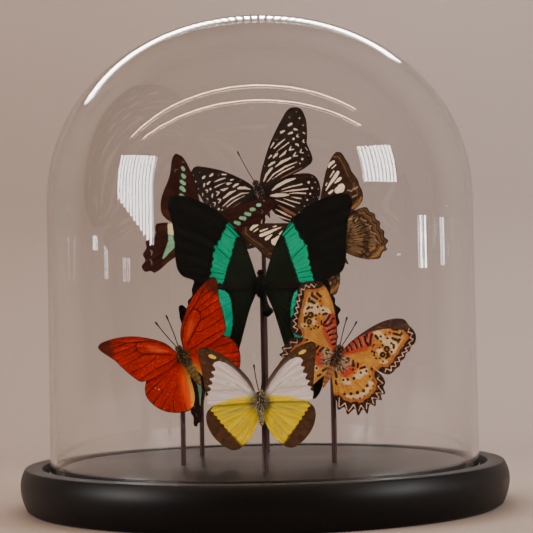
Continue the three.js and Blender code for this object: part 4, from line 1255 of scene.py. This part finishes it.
def add_floor():
    """A pale floor that sweeps up into a wall behind the display, and is clear from behind. It is
    painted lighter to the right, as painted light, and its front is painted near black where the
    glass mirrors it, as a painted reflection.
    """
    bm = bmesh.new()
    floor_front, bend_start, bend_radius, wall_top, half_width = -0.72, 0.3, 0.2, 2.2, 2.8
    profile = [(floor_front, 0), (bend_start, 0)]
    for step in range(1, 17):
        angle = math.pi / 2 * step / 16
        profile.append((bend_start + bend_radius * math.sin(angle),
                        bend_radius * (1 - math.cos(angle))))
    profile.append((bend_start + bend_radius, wall_top))
    corners = [bm.verts.new((-half_width, y, z)) for y, z in profile]
    edges = [bm.edges.new(pair) for pair in zip(corners, corners[1:])]
    grown = bmesh.ops.extrude_edge_only(bm, edges=edges)["geom"]
    finish_walls(bm, grown, (2 * half_width, 0, 0))
    flat = min(bm.faces, key=lambda face: face.calc_center_median().y)
    if flat.normal.z < 0:
        bmesh.ops.reverse_faces(bm, faces=list(bm.faces))
    mesh = bpy.data.meshes.new("studio_sweep")
    bm.to_mesh(mesh)
    bm.free()
    mesh.shade_smooth()
    sweep = bpy.data.objects.new("studio_sweep", mesh)
    finish = Finish("studio_paper", Roughness=0.9, Specular_IOR_Level=0.1)
    place = finish.node("SeparateXYZ")
    finish.feed(place.inputs[0], finish.place())
    # Painted light: the paper is painted lighter towards the right.
    painted_light_paper = finish.mix(finish.ramp(place.outputs[0], -0.25, 0.3), PAPER_SHADED_LEFT, PAPER_LIT_RIGHT)
    # Painted reflection: where the glass mirrors the front of the floor, it is painted near black.
    mirrored = finish.node("LightPath").outputs["Glossy Depth"]
    front = finish.ramp(place.outputs[1], -0.3, -0.13, 1.0, 0.0)
    share = finish.math("MINIMUM", finish.math("MULTIPLY", mirrored, front), 1.0)
    finish.colour(finish.mix(share, painted_light_paper, PAPER_MIRRORED))
    behind = finish.node("NewGeometry").outputs["Backfacing"]
    finish.feed(finish.shader.inputs["Alpha"], finish.math("SUBTRACT", 1.0, behind))
    mesh.materials.append(finish.material)
    scene.collection.objects.link(sweep)


def add_lamp(name, where, toward, size, power, colour=(1, 1, 1)):
    lamp = bpy.data.lights.new(name, "AREA")
    lamp.shape = "RECTANGLE"
    lamp.size, lamp.size_y = size
    lamp.energy = power
    lamp.color = colour
    holder = bpy.data.objects.new(name, lamp)
    holder.location = where
    holder.rotation_euler = (Vector(toward) - Vector(where)).to_track_quat("-Z", "Y").to_euler()
    scene.collection.objects.link(holder)


def add_panel(name, centre, toward, size, count, power, share, shortest=1.0):
    """A lamp of upright light bars, each filling a share of its place, the first the shortest."""
    turn = (Vector(toward) - Vector(centre)).to_track_quat("-Z", "Y")
    across, up = turn @ Vector((1, 0, 0)), turn @ Vector((0, 1, 0))
    heights = np.linspace(shortest, 1, count) * size[1]
    for index, height in enumerate(heights.tolist()):
        step = across * ((index + 0.5) / count - 0.5) * size[0] + up * (size[1] - height) / 2
        add_lamp(f"{name}_{index}", Vector(centre) + step, Vector(toward) + step,
                 (size[0] / count * share, height), power * height / float(heights.sum()),
                 PANEL_WHITE)


def add_world():
    """Soft light from all round; what the glass mirrors of the room stays dim."""
    world = bpy.data.worlds.new("soft_room")
    world.use_nodes = True
    nodes, links = world.node_tree.nodes, world.node_tree.links
    path = nodes.new("ShaderNodeLightPath")
    mix = nodes.new("ShaderNodeMix")
    mix.data_type = "RGBA"
    links.new(path.outputs["Glossy Depth"], mix.inputs[0])
    mix.inputs[6].default_value = ROOM
    mix.inputs[7].default_value = ROOM_MIRRORED
    links.new(mix.outputs[2], nodes["Background"].inputs["Color"])
    nodes["Background"].inputs["Strength"].default_value = 1.0
    scene.world = world


add_floor()
add_world()
aim = (0, 0, 0.13)
add_panel("left_panel", (-1.41, -0.64, 0.46), aim, (0.6, 0.5), 11, 21, 0.52, 0.86)
add_panel("right_panel", (1.38, -0.68, 0.56), aim, (0.56, 0.46), 9, 20, 0.5)
add_panel("right_glint", (1.28, 0.005, 0.196), (0.08, -0.079, 0.135), (0.15, 0.066), 2, 0.5, 0.3)
add_lamp("far_right_glint", (1.2, 0.376, 0.196), (0.087, -0.067, 0.136), (0.035, 0.06), 0.08)
add_lamp("left_glint", (-1.27, 0.062, 0.202), (-0.078, -0.078, 0.132), (0.04, 0.018), 0.036)
add_lamp("ceiling_strip_near", (-0.2, -0.73, 1.2), (-0.2, -0.3, 0.1), (3.1, 0.012), 10,
         STRIP_AMBER)
add_lamp("ceiling_strip_far", (-0.4, -0.47, 1.2), (-0.4, -0.1, 0.1), (2.8, 0.012), 9,
         STRIP_AMBER)
add_panel("back_strip", (-0.085, 0.45, 0.5), (-0.085, 0, 0.2), (0.69, 0.05), 64, 2.6, 0.6)


# ---- camera -------------------------------------------------------------------------------
def add_camera():
    """Level with the butterflies, a little below them, and leaning slightly to one side."""
    ahead = Vector((0, math.cos(CAMERA_PITCH), math.sin(CAMERA_PITCH)))
    level_up = Vector((1, 0, 0)).cross(ahead)
    up = level_up * math.cos(CAMERA_ROLL) + Vector((1, 0, 0)) * math.sin(CAMERA_ROLL)
    right = ahead.cross(up)
    lens = bpy.data.cameras.new("camera")
    lens.sensor_width = 36
    lens.lens = CAMERA_LENS
    holder = bpy.data.objects.new("camera", lens)
    holder.matrix_world = (Matrix.Translation(CAMERA_PLACE)
                           @ Matrix((right, up, -ahead)).transposed().to_4x4())
    scene.collection.objects.link(holder)
    scene.camera = holder


add_camera()
